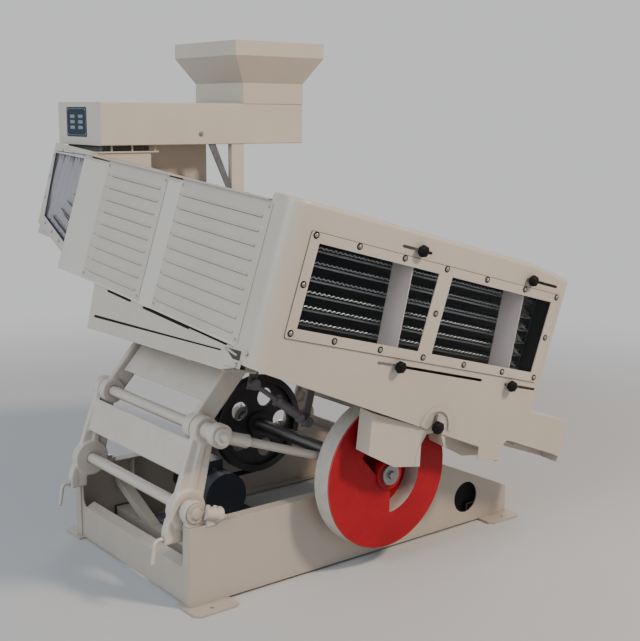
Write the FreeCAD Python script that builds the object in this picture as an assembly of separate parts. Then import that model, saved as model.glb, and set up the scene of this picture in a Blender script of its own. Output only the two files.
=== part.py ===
import FreeCAD, Part
import math
import os

# Gravity paddy separator: a dimpled tray deck on two rocker frames, rocked by an eccentric shaft
# X runs along the drive side, Y from the drive side to the feed side, Z up
# The origin is on the floor at the centre of the foot bolt pattern

vec = FreeCAD.Vector

# Base
base_length = 1500.0
base_width = 831.0
base_height = 280.0
base_low_height = 116.0
base_slope_start = 380.0
side_plate = 5.0
side_flange = 45.0
end_flange = 40.0
access_hole_x = 520.0
access_hole_z = 115.0
access_hole_radius = 62.0
end_plate_dip = 130.0
end_plate_horn = 230.0
end_plate_horn_gap = 4.0
end_plate_flat_in = 22.0
end_lip_run = 34.0
end_lip_rise = 15.0
right_notch_start = 120.0
right_notch_end = 160.0
right_notch_depth = 40.0
foot_length = 168.0
foot_out = 70.0
foot_in = 57.0
foot_end = 18.0
foot_corner = 16.0
foot_thickness = 8.0
foot_bolt_radius = 7.0
foot_bolt_inset = 60.0
foot_bolt_out = 38.0
member_top = 85.0
member_width = 60.0
member_wall = 5.0
member_places = (-560.0, -220.0, 560.0)
brace_rise = 131.0
brace_reach = 285.0
brace_width = 40.0
brace_edge = 8.0
brace_rib = 34.0
stiffener_x = -522.0
stiffener_width = 36.0
rib_wall = 6.0

# Rockers and their shafts
rocker_shaft_radius = 20.0
rocker_shaft_height = 45.0
rocker_low_x = -720.0
rocker_lean = 75.0
rocker_rise = 257.0
rocker_pitch = 990.0
rocker_arm_inset = 44.0
rocker_arm_width = 40.0
rocker_low_eye = 66.0
rocker_up_eye = 46.0
rocker_web = 22.0
running_gap = 0.05
part_gap = 0.3
cross_plate_start = 0.38
cross_plate_end = 0.84
right_plate_end = 0.74
cross_plate_offset = 28.0
cross_plate_wall = 8.0

# Split clamp under the lower eye, closed by a bent screw handle
lug_left = 86.0
lug_right = 22.0
lug_drop = 106.0
lug_half_width = 15.0
lug_screw_drop = 86.0
slit_width = 6.0
handle_radius = 7.0
handle_reach = 118.0
handle_drop = 56.0

# Bearing blocks on the base
block_inset = 26.5
block_width = 34.0
block_foot = 14.0
block_ring = 42.0
block_bolt_radius = 6.0
block_bolt_reach = 72.0
block_bolt_edge = 18.0
end_block_left = 28.0
end_block_bolts = (62.0, 104.0)

# Drive shaft, flywheel and connecting rod
drive_x = -4.0
drive_shaft_height = 71.0
drive_shaft_radius = 25.0
throw = 13.0
eccentric_radius = 48.0
strap_play = 27.0
strap_wall = 19.0
strap_width = 28.0
strap_ear = 22.0
strap_out = 49.0
wheel_radius = 272.0
wheel_gap = 8.0
wheel_width = 80.0
wheel_recess_radius = 145.0
wheel_web = 14.0
wheel_hub_radius = 55.0
weight_edge = 9.0
weight_corner_drop = 69.0
weight_slope = 1.14
pulley_radius = 200.0
pulley_inset = 119.0
pulley_width = 40.0
pulley_hub_radius = 50.0
pulley_rim = 26.0
pulley_hole_circle = 112.0
pulley_hole_radius = 38.0
belt_width = 12.0
belt_depth = 9.0
belt_pitch = 18.0
groove_gap = 0.4
rod_radius = 15.0
rod_boss_radius = 40.0
rod_fork_width = 44.0
rod_fork_start = 39.0
rod_fork_end = 100.0

# Motor
motor_x = -350.0
motor_height = 105.0
motor_radius = 84.0
motor_length = 250.0
motor_shaft_radius = 12.0
motor_pulley_radius = 45.0
motor_plate = 10.0
motor_rail_width = 190.0

# Tilts of the deck
tilt_down = 15.0
tilt_rear = 4.4

# Cradle under the deck, in its own frame: x down the slope, y to the rear, z square to the slope
cradle_start = 145.0
cradle_rise = 182.0
cradle_left = -184.0
cradle_right = 1056.0
cradle_height = 80.0
cradle_flange = 40.0
cradle_wall = 5.0
cradle_inset = 24.0
cradle_cross_places = (-150.0, 176.0, 420.0, 990.0)
cradle_cross_front = 552.0
cradle_cross_rear = 420.0
cradle_cross_height = 50.0
cradle_bearing_radius = 31.0
cradle_arm_top = 20.0
cradle_shoe = 70.0
cradle_plate_start = 0.34
cradle_plate_end = 0.86
cradle_plate_offset = 12.0
adjuster_y_top = -205.0
adjuster_y_low = -240.0
adjuster_drop_top = 60.0
adjuster_drop_low = 165.0

# Deck frame: its origin is the top left window bolt on the outer face of the hood
deck_start = 35.0
deck_overhang = 385.0
deck_rise = 479.5
deck_left = -105.0
deck_right = 1207.0
deck_front = 118.0
deck_rear = 1385.0
deck_top = 72.0
deck_lip = 14.0
deck_bottom = -394.0
sheet = 3.0

# Hood over the tray outlets
hood_top = 98.0
hood_corner = 64.0
hood_edge = 18.0
hood_chamfer_start = 994.0
hood_chamfer_end = 76.0
hood_drop_left = -437.0
hood_drop_right = -594.0
hood_drop_right_a = 978.0
spout_gap_left = 1119.0
spout_gap_right = 1147.0
spout_gap_c = -558.0
hood_drop_end = -566.0

# Window on the hood
window_width = 1163.0
window_height = 308.0
window_margin_side = 18.0
window_margin_top = 10.0
window_margin_bottom = 17.0
window_plate = 4.0
window_left = (20.0, 547.0)
window_right = (611.0, 1142.0)
window_top = -22.0
window_bottom = -291.0
window_lap = 6.0
window_bolt_places = (0.0, 178.0, 377.0, 576.0, 779.0, 983.0, 1163.0)
window_bolt_radius = 5.0
window_bolt_head_radius = 8.5
window_bolt_head = 5.0

# Slots of the splitters: start, end and height, an upper and a lower one for each splitter
slot_width = 10.0
slots = ((356.0, 494.0, 37.0), (384.0, 897.0, -352.0), (984.0, 1155.0, 37.0), (1018.0, 1192.0, -352.0))
# Places of each splitter's upper and lower knob along the hood
splitter_places = ((435.0, 474.0), (999.0, 1043.0))
splitter_depth = 100.0
splitter_start = 9.0
splitter_wall = 4.0
splitter_tab = 14.0
stud_radius = 4.6
knob_radius = 17.0
knob_face = 3.0
knob_taper = 6.0
knob_grip = 16.0
diverter_a = 716.0
diverter_c = -537.0
diverter_arc = 68.0
diverter_arc_width = 16.0
diverter_shaft = 7.0
arc_guide_shift = 12.0
arc_guide_drop = 6.0
diverter_knob_face = 9.0
diverter_knob_radius = 20.0

# Separator trays
tray_count = 6
tray_pitch = 48.0
tray_first = -36.0
tray_left = -80.0
tray_right = 1180.0
tray_front = 120.0
tray_rear = 1340.0
tray_wall = 2.0
dimple_pitch = 30.0
dimple_depth = 7.0
rail_height = 6.0

# Skirt under the high end of the deck: its outline along b and c, its slot as places along b
# and heights above the lower edge, and the gaps along its top edge as start, end and depth
skirt_a = -99.0
skirt_outline = ((62.0, -394.0), (1102.0, -394.0), (1071.0, -562.0), (167.0, -480.0), (70.0, -448.0))
skirt_slot = ((190.0, 58.0), (1040.0, 47.0))
skirt_slot_width = 4.0
skirt_fold = 40.0
skirt_gaps = ((145.0, 402.0, 3.0), (402.0, 722.0, 6.0), (812.0, 1000.0, 4.0))

# Louvred covers on the high end of the deck
cover_wall = 2.0
cover_near = (104.0, 649.0)
cover_far = (748.0, 1203.0)
cover_top = 58.0
cover_bottom = -384.0
louvre_near = (141.0, 630.0)
louvre_far = (782.0, 1157.0)
louvre_count = 9
louvre_first = 10.0
louvre_pitch = 46.0
louvre_height = 9.0
louvre_rise = 3.5
louvre_wall = 1.3
vent_edge = 26.0
stile_top = 50.0
stile_rise = 12.0
flare_rise = 18.0
flare_top_end = 1356.0

# Spouts below the hood: front outlines along a and c, and their depths
spout_left_front = ((447.0, -526.0), (478.0, -671.0), (599.0, -701.0), (711.0, -688.0), (689.0, -609.0),
                    (702.0, -571.0), (744.0, -558.0))
spout_left_depth = 92.0
spout_left_lean = 26.0
spout_left_wall = 32.0
spout_left_right_wall = 60.0
spout_middle_front = ((978.0, -594.0), (989.0, -641.0), (1101.0, -636.0), (1089.0, -593.0), (1119.0, -558.0))
spout_middle_chute = ((770.0, -566.0), (800.0, -606.0), (985.0, -652.0), (1101.0, -640.0), (1089.0, -597.0),
                      (1119.0, -560.0), (978.0, -596.0))
spout_middle_depth = 78.0
spout_right_plate = ((1207.0, -566.0), (1207.0, -440.0), (1436.0, -454.0), (1450.0, -600.0), (1409.0, -590.0))
spout_right_body = ((1207.0, -440.0), (1436.0, -454.0), (1458.0, -622.0), (1215.0, -598.0), (1172.0, -570.0),
                    (1207.0, -567.0))
spout_right_depth = 84.0

# Feed chamber behind the deck
chamber_right = 600.0
chamber_top = 64.0
chamber_rear_top = 1712.0
chamber_rear_low = 1700.0
chamber_low_c = -256.0
chamber_foot_c = -335.0
chamber_inlet_span = (-75.0, 560.0, 1545.0, 1672.0)
feed_window = ((1407.0, 52.0), (1690.0, 46.0), (1654.0, -223.0), (1407.0, -297.0))
gasket_lap = 3.0
gasket_wall = 3.0
chute_wall = 2.0
chute_rise = 0.29
chute_first = 16.0
chute_step = 44.0
flute_pitch = 46.0
flute_depth = 16.0
flute_wall = 1.5
flute_a = -74.0
flute_low_c = -236.0

# Duct and hopper
duct_left = -483.0
duct_right = 505.0
duct_front = 645.0
duct_rear = 1022.0
duct_rise = 229.5
duct_height = 170.0
duct_wall = 3.0
neck_left = 190.0
neck_height = 87.0
hopper_flare = 111.0
hopper_rim = 61.0
hopper_half_x = 232.0
hopper_half_y = 245.0
transition_right = 112.0
transition_middle = -242.0
transition_setback = 36.0
transition_step = 140.0
collar_height = 20.0
collar_start = 1396.0
neck_gap = 24.0
flange_wall = 6.0
flange_out = 8.0
stud_places = (-420.0, -328.0, -223.0)
post_width = 62.0
post_depth = 28.0
slant_reach = 108.0
slant_width = 34.0
slant_drop = 170.0
far_away = 900.0

# Places that follow from the sizes above
rocker_low_z = base_height + rocker_shaft_height
rocker_up_x = rocker_low_x + rocker_lean
rocker_up_z = rocker_low_z + rocker_rise
block_y = base_width / 2 - block_inset
rocker_arm_y = block_y - rocker_arm_inset
cradle_outer_y = rocker_arm_y - cradle_inset
end_plate_horn_y = rocker_arm_y + lug_half_width + end_plate_horn_gap
lug_screw_z = rocker_low_z - lug_screw_drop
drive_z = base_height + drive_shaft_height
strap_y = -block_y - strap_out
wheel_front = strap_y - strap_width / 2 - wheel_gap - wheel_width
pulley_y = block_y - pulley_inset
motor_z = member_top + motor_height
cradle_x = rocker_up_x + cradle_start
cradle_z = rocker_up_z + cradle_rise
deck_x = cradle_x + deck_start
deck_y = -cradle_outer_y - deck_overhang
deck_z = cradle_z + deck_rise
duct_bottom = deck_z + duct_rise


def tilt_axes():
    down = math.radians(tilt_down)
    rear = math.radians(tilt_rear)
    along = vec(math.cos(down), 0, -math.sin(down))
    up = vec(math.sin(down), 0, math.cos(down))
    back = vec(0, math.cos(rear), 0) + up * math.sin(rear)
    return along, back, along.cross(back), up


def frame_placement(along, back, square, origin):
    rows = (along.x, back.x, square.x, origin.x, along.y, back.y, square.y, origin.y,
            along.z, back.z, square.z, origin.z, 0, 0, 0, 1)
    return FreeCAD.Placement(FreeCAD.Matrix(*rows))


deck_along, deck_back, deck_square, slope_square = tilt_axes()
deck_place = frame_placement(deck_along, deck_back, deck_square, vec(deck_x, deck_y, deck_z))
cradle_place = frame_placement(deck_along, vec(0, 1, 0), slope_square, vec(cradle_x, 0, cradle_z))


def on_deck(shape):
    moved = shape.copy()
    moved.Placement = deck_place.multiply(moved.Placement)
    return moved


def on_cradle(shape):
    moved = shape.copy()
    moved.Placement = cradle_place.multiply(moved.Placement)
    return moved


def block(x0, x1, y0, y1, z0, z1):
    return Part.makeBox(x1 - x0, y1 - y0, z1 - z0, vec(x0, y0, z0))


def rod(start, end, radius):
    run = end.sub(start)
    return Part.makeCylinder(radius, run.Length, start, run)


def disc_y(x, z, radius, y0, y1):
    return Part.makeCylinder(radius, y1 - y0, vec(x, y0, z), vec(0, 1, 0))


def outline_xz(points, y0, y1):
    corners = [vec(x, y0, z) for x, z in points]
    return Part.Face(Part.makePolygon(corners + corners[:1])).extrude(vec(0, y1 - y0, 0))


def outline_yz(points, x0, x1):
    corners = [vec(x0, y, z) for y, z in points]
    return Part.Face(Part.makePolygon(corners + corners[:1])).extrude(vec(x1 - x0, 0, 0))


def outline_xy(points, z0, z1):
    corners = [vec(x, y, z0) for x, y in points]
    return Part.Face(Part.makePolygon(corners + corners[:1])).extrude(vec(0, 0, z1 - z0))


def joined(shapes):
    whole = shapes[0]
    for extra in shapes[1:]:
        whole = whole.fuse(extra)
    return whole.removeSplitter()


def less(shape, tools):
    for tool in tools:
        shape = shape.cut(tool)
    return shape


def mirrored(shape):
    return shape.mirror(vec(0, 0, 0), vec(0, 1, 0))


def save(name, *shapes):
    whole = shapes[0] if len(shapes) == 1 else Part.makeCompound(list(shapes))
    whole.exportStep("parts/" + name + ".step")


def link_plate(x0, z0, r0, x1, z1, r1, y0, y1):
    # flat link with round ends of two sizes and tangent sides
    run = math.hypot(x1 - x0, z1 - z0)
    lean = math.atan2(z1 - z0, x1 - x0)
    open_angle = math.acos((r0 - r1) / run)
    ends = []
    for x, z, r in ((x0, z0, r0), (x1, z1, r1)):
        ends.append([vec(x + r * math.cos(lean + s * open_angle), y0, z + r * math.sin(lean + s * open_angle))
                     for s in (-1, 1)])
    back_point = vec(x0 - r0 * math.cos(lean), y0, z0 - r0 * math.sin(lean))
    front_point = vec(x1 + r1 * math.cos(lean), y0, z1 + r1 * math.sin(lean))
    edges = [Part.Arc(ends[0][1], back_point, ends[0][0]).toShape(),
             Part.LineSegment(ends[0][0], ends[1][0]).toShape(),
             Part.Arc(ends[1][0], front_point, ends[1][1]).toShape(),
             Part.LineSegment(ends[1][1], ends[0][1]).toShape()]
    return Part.Face(Part.Wire(edges)).extrude(vec(0, y1 - y0, 0))


def hex_prism(centre, axis, across, height):
    turn = FreeCAD.Rotation(vec(0, 0, 1), axis)
    radius = across / math.sqrt(3)
    corners = [centre + turn.multVec(vec(radius * math.cos(math.radians(60 * k)),
                                         radius * math.sin(math.radians(60 * k)), 0)) for k in range(7)]
    return Part.Face(Part.makePolygon(corners)).extrude(turn.multVec(vec(0, 0, height)))


# Base of folded plate

def side_outline(drop):
    half = base_length / 2
    floor = foot_thickness
    return [(-half, floor), (half, floor), (half, base_low_height - drop),
            (base_slope_start, base_height - drop), (-half, base_height - drop)]


def base_side():
    half = base_length / 2
    y0 = -base_width / 2
    y1 = y0 + side_plate
    web = outline_xz(side_outline(0), y0, y1)
    full = outline_xz(side_outline(0), y0, y0 + side_flange)
    under = outline_xz([(x, z) for x, z in side_outline(side_plate)], y1, y0 + side_flange)
    top = full.cut(under)
    floor = foot_thickness
    bottom = block(-half, half, y0, y0 + end_flange, floor, floor + side_plate)
    left = block(-half, -half + side_plate, y0, y0 + end_flange, floor, base_height)
    right = block(half - side_plate, half, y0, y0 + end_flange, floor, base_low_height)
    side = joined([web, top, bottom, left, right])
    holes = [disc_y(access_hole_x, access_hole_z, access_hole_radius, y0 - 1, y1 + 1)]
    for x in all_block_bolts():
        holes.append(rod(vec(x, -block_y, base_height - 4 * side_plate), vec(x, -block_y, base_height + 1),
                         block_bolt_radius + part_gap))
    return less(side, holes)


def block_spots():
    # place, height, bore and bolt offsets of the three blocks on a side
    pair = (-block_bolt_reach, block_bolt_reach)
    return [(rocker_low_x, rocker_low_z, rocker_shaft_radius, end_block_bolts),
            (rocker_low_x + rocker_pitch, rocker_low_z, rocker_shaft_radius, pair),
            (drive_x, drive_z, drive_shaft_radius, pair)]


def all_block_bolts():
    return [spot[0] + reach for spot in block_spots() for reach in spot[3]]


def base_end_plates():
    inner = base_width / 2 - side_plate
    floor = foot_thickness
    x0 = -base_length / 2 + side_plate
    x1 = x0 + side_plate
    flat = end_plate_horn_y - end_plate_flat_in
    half = [(0, floor), (inner, floor), (inner, end_plate_horn), (end_plate_horn_y, end_plate_horn),
            (end_plate_horn_y, end_plate_dip + 24), (end_plate_horn_y - 8, end_plate_dip + 8),
            (flat, end_plate_dip), (0, end_plate_dip)]
    high = outline_yz(half, x0, x1)
    lip_end = x0 + end_lip_run
    lip_top = end_plate_dip + end_lip_rise
    lip = outline_xz([(x0, end_plate_dip), (x1, end_plate_dip - 2), (lip_end, lip_top - 2),
                      (lip_end, lip_top + 2)], 0, flat)
    left = joined([high, mirrored(high), lip, mirrored(lip)])
    left = less(left, side_flange_room(x0, x1))
    x3 = base_length / 2 - side_plate
    low = base_low_height - side_plate - 1
    notch = low - right_notch_depth
    right = outline_yz([(-inner, floor), (inner, floor), (inner, low), (inner - right_notch_start, low),
                        (inner - right_notch_end, notch), (-inner + right_notch_end, notch),
                        (-inner + right_notch_start, low), (-inner, low)], x3 - side_plate, x3)
    return left, less(right, side_flange_room(x3 - side_plate, x3))


def side_flange_room(x0, x1):
    # room for the bottom flanges of the two sides
    y0 = base_width / 2 - end_flange
    room = block(x0 - 1, x1 + 1, y0, base_width / 2, 0, foot_thickness + side_plate)
    return [room, mirrored(room)]


def base_cross_members():
    inner = base_width / 2 - side_plate
    floor = foot_thickness + side_plate
    members = []
    for x in member_places:
        outer = block(x - member_width / 2, x + member_width / 2, -inner, inner, floor, member_top)
        half = member_width / 2 - member_wall
        hollow = block(x - half, x + half, -inner - 1, inner + 1, floor - 1, member_top - member_wall)
        members.append(outer.cut(hollow))
    return members


def base_braces():
    # knee braces from the sides down to the first cross member, and one upright stiffener
    inner = base_width / 2 - side_plate
    x0 = member_places[0] - member_width / 2 + 2
    slope = brace_rise / brace_reach
    end = inner - brace_reach
    high = member_top + brace_rise
    flat = outline_yz([(inner, high), (inner, high - brace_edge), (end + brace_edge / slope, member_top),
                       (end, member_top)], x0, x0 + brace_width)
    rib = outline_yz([(inner, high), (inner, high - brace_rib), (end + brace_rib / slope, member_top),
                      (end, member_top)], x0, x0 + rib_wall)
    knee = joined([flat, rib])
    stiffener = block(stiffener_x, stiffener_x + rib_wall, inner - stiffener_width, inner,
                      foot_thickness + side_plate, base_height - side_plate)
    return knee, mirrored(knee), stiffener


def foot_plates():
    plates = []
    half = base_length / 2
    cut = foot_corner
    for sx in (-1, 1):
        for sy in (-1, 1):
            x_out = sx * (half + foot_end)
            x_in = sx * (half + foot_end - foot_length)
            y_in = sy * (base_width / 2 - foot_in)
            y_out = sy * (base_width / 2 + foot_out)
            points = [(x_out, y_in), (x_in, y_in), (x_in, y_out - sy * cut), (x_in + sx * cut, y_out),
                      (x_out - sx * cut, y_out), (x_out, y_out - sy * cut)]
            plate = outline_xy(points, 0, foot_thickness)
            x = sx * (half - foot_bolt_inset)
            y = sy * (base_width / 2 + foot_bolt_out)
            plates.append(plate.cut(rod(vec(x, y, -1), vec(x, y, foot_thickness + 1), foot_bolt_radius)))
    return plates


# Bearing blocks

def bearing_block(x, z, bore, bolts):
    # cast block with a round housing over a bolted foot
    y0 = block_y - block_width / 2
    y1 = block_y + block_width / 2
    ring = block_ring + bore - rocker_shaft_radius
    left = min(-block_bolt_edge - block_bolt_reach, 0) if bolts[0] < 0 else -end_block_left
    foot_top = base_height + block_foot
    foot = block(x + left, x + bolts[1] + block_bolt_edge, y0, y1, base_height, foot_top)
    corners = [e for e in foot.Edges if abs(e.BoundBox.YLength) < 1e-6 and e.BoundBox.ZLength > 1]
    foot = foot.makeFillet(5, corners)
    spread = min(ring + 8, -left)
    neck = outline_xz([(x - spread, foot_top - 4), (x + ring + 8, foot_top - 4), (x + ring * 0.96, z),
                       (x - ring * 0.96, z)], y0, y1)
    head = disc_y(x, z, ring, y0, y1)
    cap = disc_y(x, z, ring * 0.72, y0 - 3, y1)
    whole = joined([foot, neck, head, cap])
    holes = [disc_y(x, z, bore + running_gap, y0 - 10, y1 + 10)]
    holes += [rod(vec(x + reach, block_y, base_height - 1), vec(x + reach, block_y, foot_top + 1),
                  block_bolt_radius + part_gap) for reach in bolts]
    return whole.cut(Part.makeCompound(holes))


def bearing_blocks():
    far = [bearing_block(*spot) for spot in block_spots()]
    return far + [mirrored(b) for b in far]


def block_bolts():
    bolts = []
    for x in all_block_bolts():
        seat = vec(x, block_y, base_height + block_foot)
        head = hex_prism(seat, vec(0, 0, 1), 19, 8)
        shank = rod(vec(x, block_y, base_height - 18), seat, block_bolt_radius)
        bolts.append(joined([head, shank]))
    return bolts + [mirrored(b) for b in bolts]


# Rocker frames

def rocker_arm(x, lugs):
    low_x = rocker_low_x + x
    up_x = rocker_up_x + x
    y0 = rocker_arm_y - rocker_arm_width / 2
    y1 = rocker_arm_y + rocker_arm_width / 2
    slack = (rocker_arm_width - rocker_web) / 2
    web = link_plate(low_x, rocker_low_z, rocker_low_eye * 0.86, up_x, rocker_up_z, rocker_up_eye * 0.86,
                     y0 + slack, y1 - slack)
    low = disc_y(low_x, rocker_low_z, rocker_low_eye, y0, y1)
    up = disc_y(up_x, rocker_up_z, rocker_up_eye, y0, y1)
    lean = math.atan2(rocker_up_z - rocker_low_z, rocker_up_x - rocker_low_x)
    rib = link_plate(low_x + 50 * math.cos(lean), rocker_low_z + 50 * math.sin(lean), 13,
                     up_x - 34 * math.cos(lean), rocker_up_z - 34 * math.sin(lean), 12, y0 + 3, y1 - 3)
    pieces = [web, low, up, rib]
    if lugs:
        pieces.append(clamp_lug(low_x))
    arm = joined(pieces)
    holes = [disc_y(low_x, rocker_low_z, rocker_shaft_radius + running_gap, y0 - 1, y1 + 1),
             disc_y(up_x, rocker_up_z, rocker_shaft_radius + running_gap, y0 - 1, y1 + 1)]
    if lugs:
        holes.append(lug_slit(low_x, y0, y1))
        start = vec(low_x - lug_left - 24, rocker_arm_y, lug_screw_z)
        end = vec(low_x + 20, rocker_arm_y, lug_screw_z)
        holes.append(rod(start, end, handle_radius + running_gap))
    return less(arm, holes)


def clamp_lug(x):
    return outline_xz([(x - lug_left, rocker_low_z - lug_drop), (x - lug_right, rocker_low_z - lug_drop),
                       (x - lug_right + 8, rocker_low_z - 40), (x - lug_left + 14, rocker_low_z - 20),
                       (x - lug_left, rocker_low_z - lug_screw_drop + 24)],
                      rocker_arm_y - lug_half_width, rocker_arm_y + lug_half_width)


def lug_slit(x, y0, y1):
    middle = x - (lug_left + lug_right) / 2
    top = rocker_low_z - rocker_shaft_radius - 14
    half = slit_width / 2
    return block(middle - half, middle + half, y0 - 1, y1 + 1, rocker_low_z - lug_drop - 1, top)


def clamp_handle():
    # screw through the lug, then a round bend and the hanging grip
    x0 = rocker_low_x - lug_right - 6
    x1 = rocker_low_x - handle_reach
    y = rocker_arm_y
    bend = 18.0
    run = rod(vec(x0, y, lug_screw_z), vec(x1 + bend, y, lug_screw_z), handle_radius)
    elbow = Part.makeTorus(bend, handle_radius, vec(x1 + bend, y, lug_screw_z - bend), vec(0, 1, 0), 0, 360)
    keep = block(x1 - 20, x1 + bend, y - 20, y + 20, lug_screw_z - bend, lug_screw_z + 20)
    end = vec(x1 - 9, y, lug_screw_z - bend - handle_drop)
    grip = rod(vec(x1, y, lug_screw_z - bend), end, handle_radius)
    return joined([run, elbow.common(keep), grip, Part.makeSphere(handle_radius, end)])


def rocker_plate(x, end):
    # cross plate between the two arms of a rocker, set to the open side of its shafts
    run_x = rocker_up_x - rocker_low_x
    run_z = rocker_up_z - rocker_low_z
    length = math.hypot(run_x, run_z)
    e = (run_x / length, run_z / length)
    n = (-e[1], e[0])
    y = rocker_arm_y - rocker_web / 2
    corners = []
    for share, off in ((cross_plate_start, 0), (end, 0), (end, cross_plate_wall),
                       (cross_plate_start, cross_plate_wall)):
        s = share * length
        o = cross_plate_offset + off
        corners.append((rocker_low_x + x + e[0] * s + n[0] * o, rocker_low_z + e[1] * s + n[1] * o))
    return outline_xz(corners, -y, y)


def rocker_frame(x, lugs, plate_end):
    arm = rocker_arm(x, lugs)
    return arm, mirrored(arm), rocker_plate(x, plate_end)


def lower_shaft(x):
    reach = block_y + block_width / 2
    return rod(vec(rocker_low_x + x, -reach, rocker_low_z), vec(rocker_low_x + x, reach, rocker_low_z),
               rocker_shaft_radius)


def upper_shaft(x, near):
    far = rocker_arm_y + rocker_arm_width / 2 + 6
    up_x = rocker_up_x + x
    shaft = rod(vec(up_x, -near, rocker_up_z), vec(up_x, far, rocker_up_z), rocker_shaft_radius)
    cap = disc_y(up_x, rocker_up_z, rocker_shaft_radius + 12, far, far + 8)
    return joined([shaft, cap])


def left_upper_shaft():
    near = -strap_y + strap_width / 2 + 4
    shaft = upper_shaft(0, near)
    cap = disc_y(rocker_up_x, rocker_up_z, 29, -near - 9, -near)
    nut = hex_prism(vec(rocker_up_x, -near - 9, rocker_up_z), vec(0, -1, 0), 24, 8)
    arm_face = -rocker_arm_y - rocker_arm_width / 2
    collar = disc_y(rocker_up_x, rocker_up_z, 29, strap_y + strap_width / 2 + 4, arm_face)
    return joined([shaft, cap, nut, collar])


# Drive

def drive_shaft():
    end = block_y + block_width / 2 + 6
    shaft = rod(vec(drive_x, wheel_front - 8, drive_z), vec(drive_x, end, drive_z), drive_shaft_radius)
    washer = disc_y(drive_x, drive_z, drive_shaft_radius + 12, wheel_front - 16, wheel_front - 8)
    bolt = hex_prism(vec(drive_x, wheel_front - 16, drive_z), vec(0, -1, 0), 24, 10)
    half = strap_width / 2
    cam = disc_y(drive_x, drive_z + throw, eccentric_radius, strap_y - half, strap_y + half)
    return joined([shaft, washer, bolt, cam])


def flywheel():
    y0 = wheel_front
    y1 = wheel_front + wheel_width
    rim = disc_y(drive_x, drive_z, wheel_radius, y0, y1)
    rim = rim.makeChamfer(4, [e for e in rim.Edges if e.BoundBox.YLength < 1e-6])
    recess = disc_y(drive_x, drive_z, wheel_recess_radius, y0 - 1, y1 - wheel_web)
    dish = disc_y(drive_x, drive_z, wheel_radius - 70, y1 - 8, y1 + 1)
    hub = disc_y(drive_x, drive_z, wheel_hub_radius, y0 - 8, y1)
    wheel = joined([less(rim, [recess, dish]), hub])
    return wheel.cut(disc_y(drive_x, drive_z, drive_shaft_radius + running_gap, y0 - 20, y1 + 20))


def counterweight():
    y0 = wheel_front
    y1 = wheel_front + wheel_width - wheel_web
    disc = disc_y(drive_x, drive_z, wheel_recess_radius - running_gap, y0, y1)
    edge = drive_x + weight_edge
    corner = drive_z - weight_corner_drop
    far = wheel_radius
    keep = outline_xz([(edge, drive_z - far), (edge, corner), (edge - far, corner + far * weight_slope),
                       (edge - 2 * far, corner), (edge - far, drive_z - far)], y0 - 1, y1 + 1)
    return disc.common(keep).cut(disc_y(drive_x, drive_z, wheel_hub_radius + running_gap, y0 - 1, y1 + 1))


def pulley(x, z, radius, bore):
    # wheel with two belt grooves, turned about the shaft axis
    half = pulley_width / 2
    rim = disc_y(x, z, radius, pulley_y - half, pulley_y + half)
    cuts = []
    depth = belt_depth - 1
    for s in (-1, 1):
        y = pulley_y + s * belt_pitch / 2
        ring = disc_y(x, z, radius + 1, y - belt_width / 2 - groove_gap, y + belt_width / 2 + groove_gap)
        cuts.append(ring.cut(disc_y(x, z, radius - depth, y - belt_width, y + belt_width)))
    cuts.append(disc_y(x, z, bore + running_gap, pulley_y - half - 1, pulley_y + half + 1))
    return rim, cuts


def driven_pulley():
    half = pulley_width / 2
    rim, cuts = pulley(drive_x, drive_z, pulley_radius, drive_shaft_radius)
    for s in (-1, 1):
        y0, y1 = sorted((pulley_y + s * 6, pulley_y + s * (half + 1)))
        hub = disc_y(drive_x, drive_z, pulley_hub_radius, y0, y1)
        cuts.append(disc_y(drive_x, drive_z, pulley_radius - pulley_rim, y0, y1).cut(hub))
    for k in range(5):
        turn = math.radians(72 * k)
        x = drive_x + pulley_hole_circle * math.cos(turn)
        z = drive_z + pulley_hole_circle * math.sin(turn)
        cuts.append(disc_y(x, z, pulley_hole_radius, pulley_y - half, pulley_y + half))
    return less(rim, cuts)


def motor_pulley():
    half = pulley_width / 2
    rim, cuts = pulley(motor_x, motor_z, motor_pulley_radius, motor_shaft_radius)
    shaft = rod(vec(motor_x, pulley_y - half - 22, motor_z), vec(motor_x, pulley_y + half + 4, motor_z),
                motor_shaft_radius)
    return less(rim, cuts), shaft


def belt_loop(grow, y0, y1):
    r0 = motor_pulley_radius - belt_depth + 1 + grow
    r1 = pulley_radius - belt_depth + 1 + grow
    return link_plate(drive_x, drive_z, r1, motor_x, motor_z, r0, y0, y1)


def drive_belts():
    belts = []
    for s in (-1, 1):
        y = pulley_y + s * belt_pitch / 2
        outer = belt_loop(groove_gap + belt_depth, y - belt_width / 2, y + belt_width / 2)
        inner = belt_loop(groove_gap, y - belt_width / 2 - 1, y + belt_width / 2 + 1)
        belts.append(outer.cut(inner))
    return belts


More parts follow.
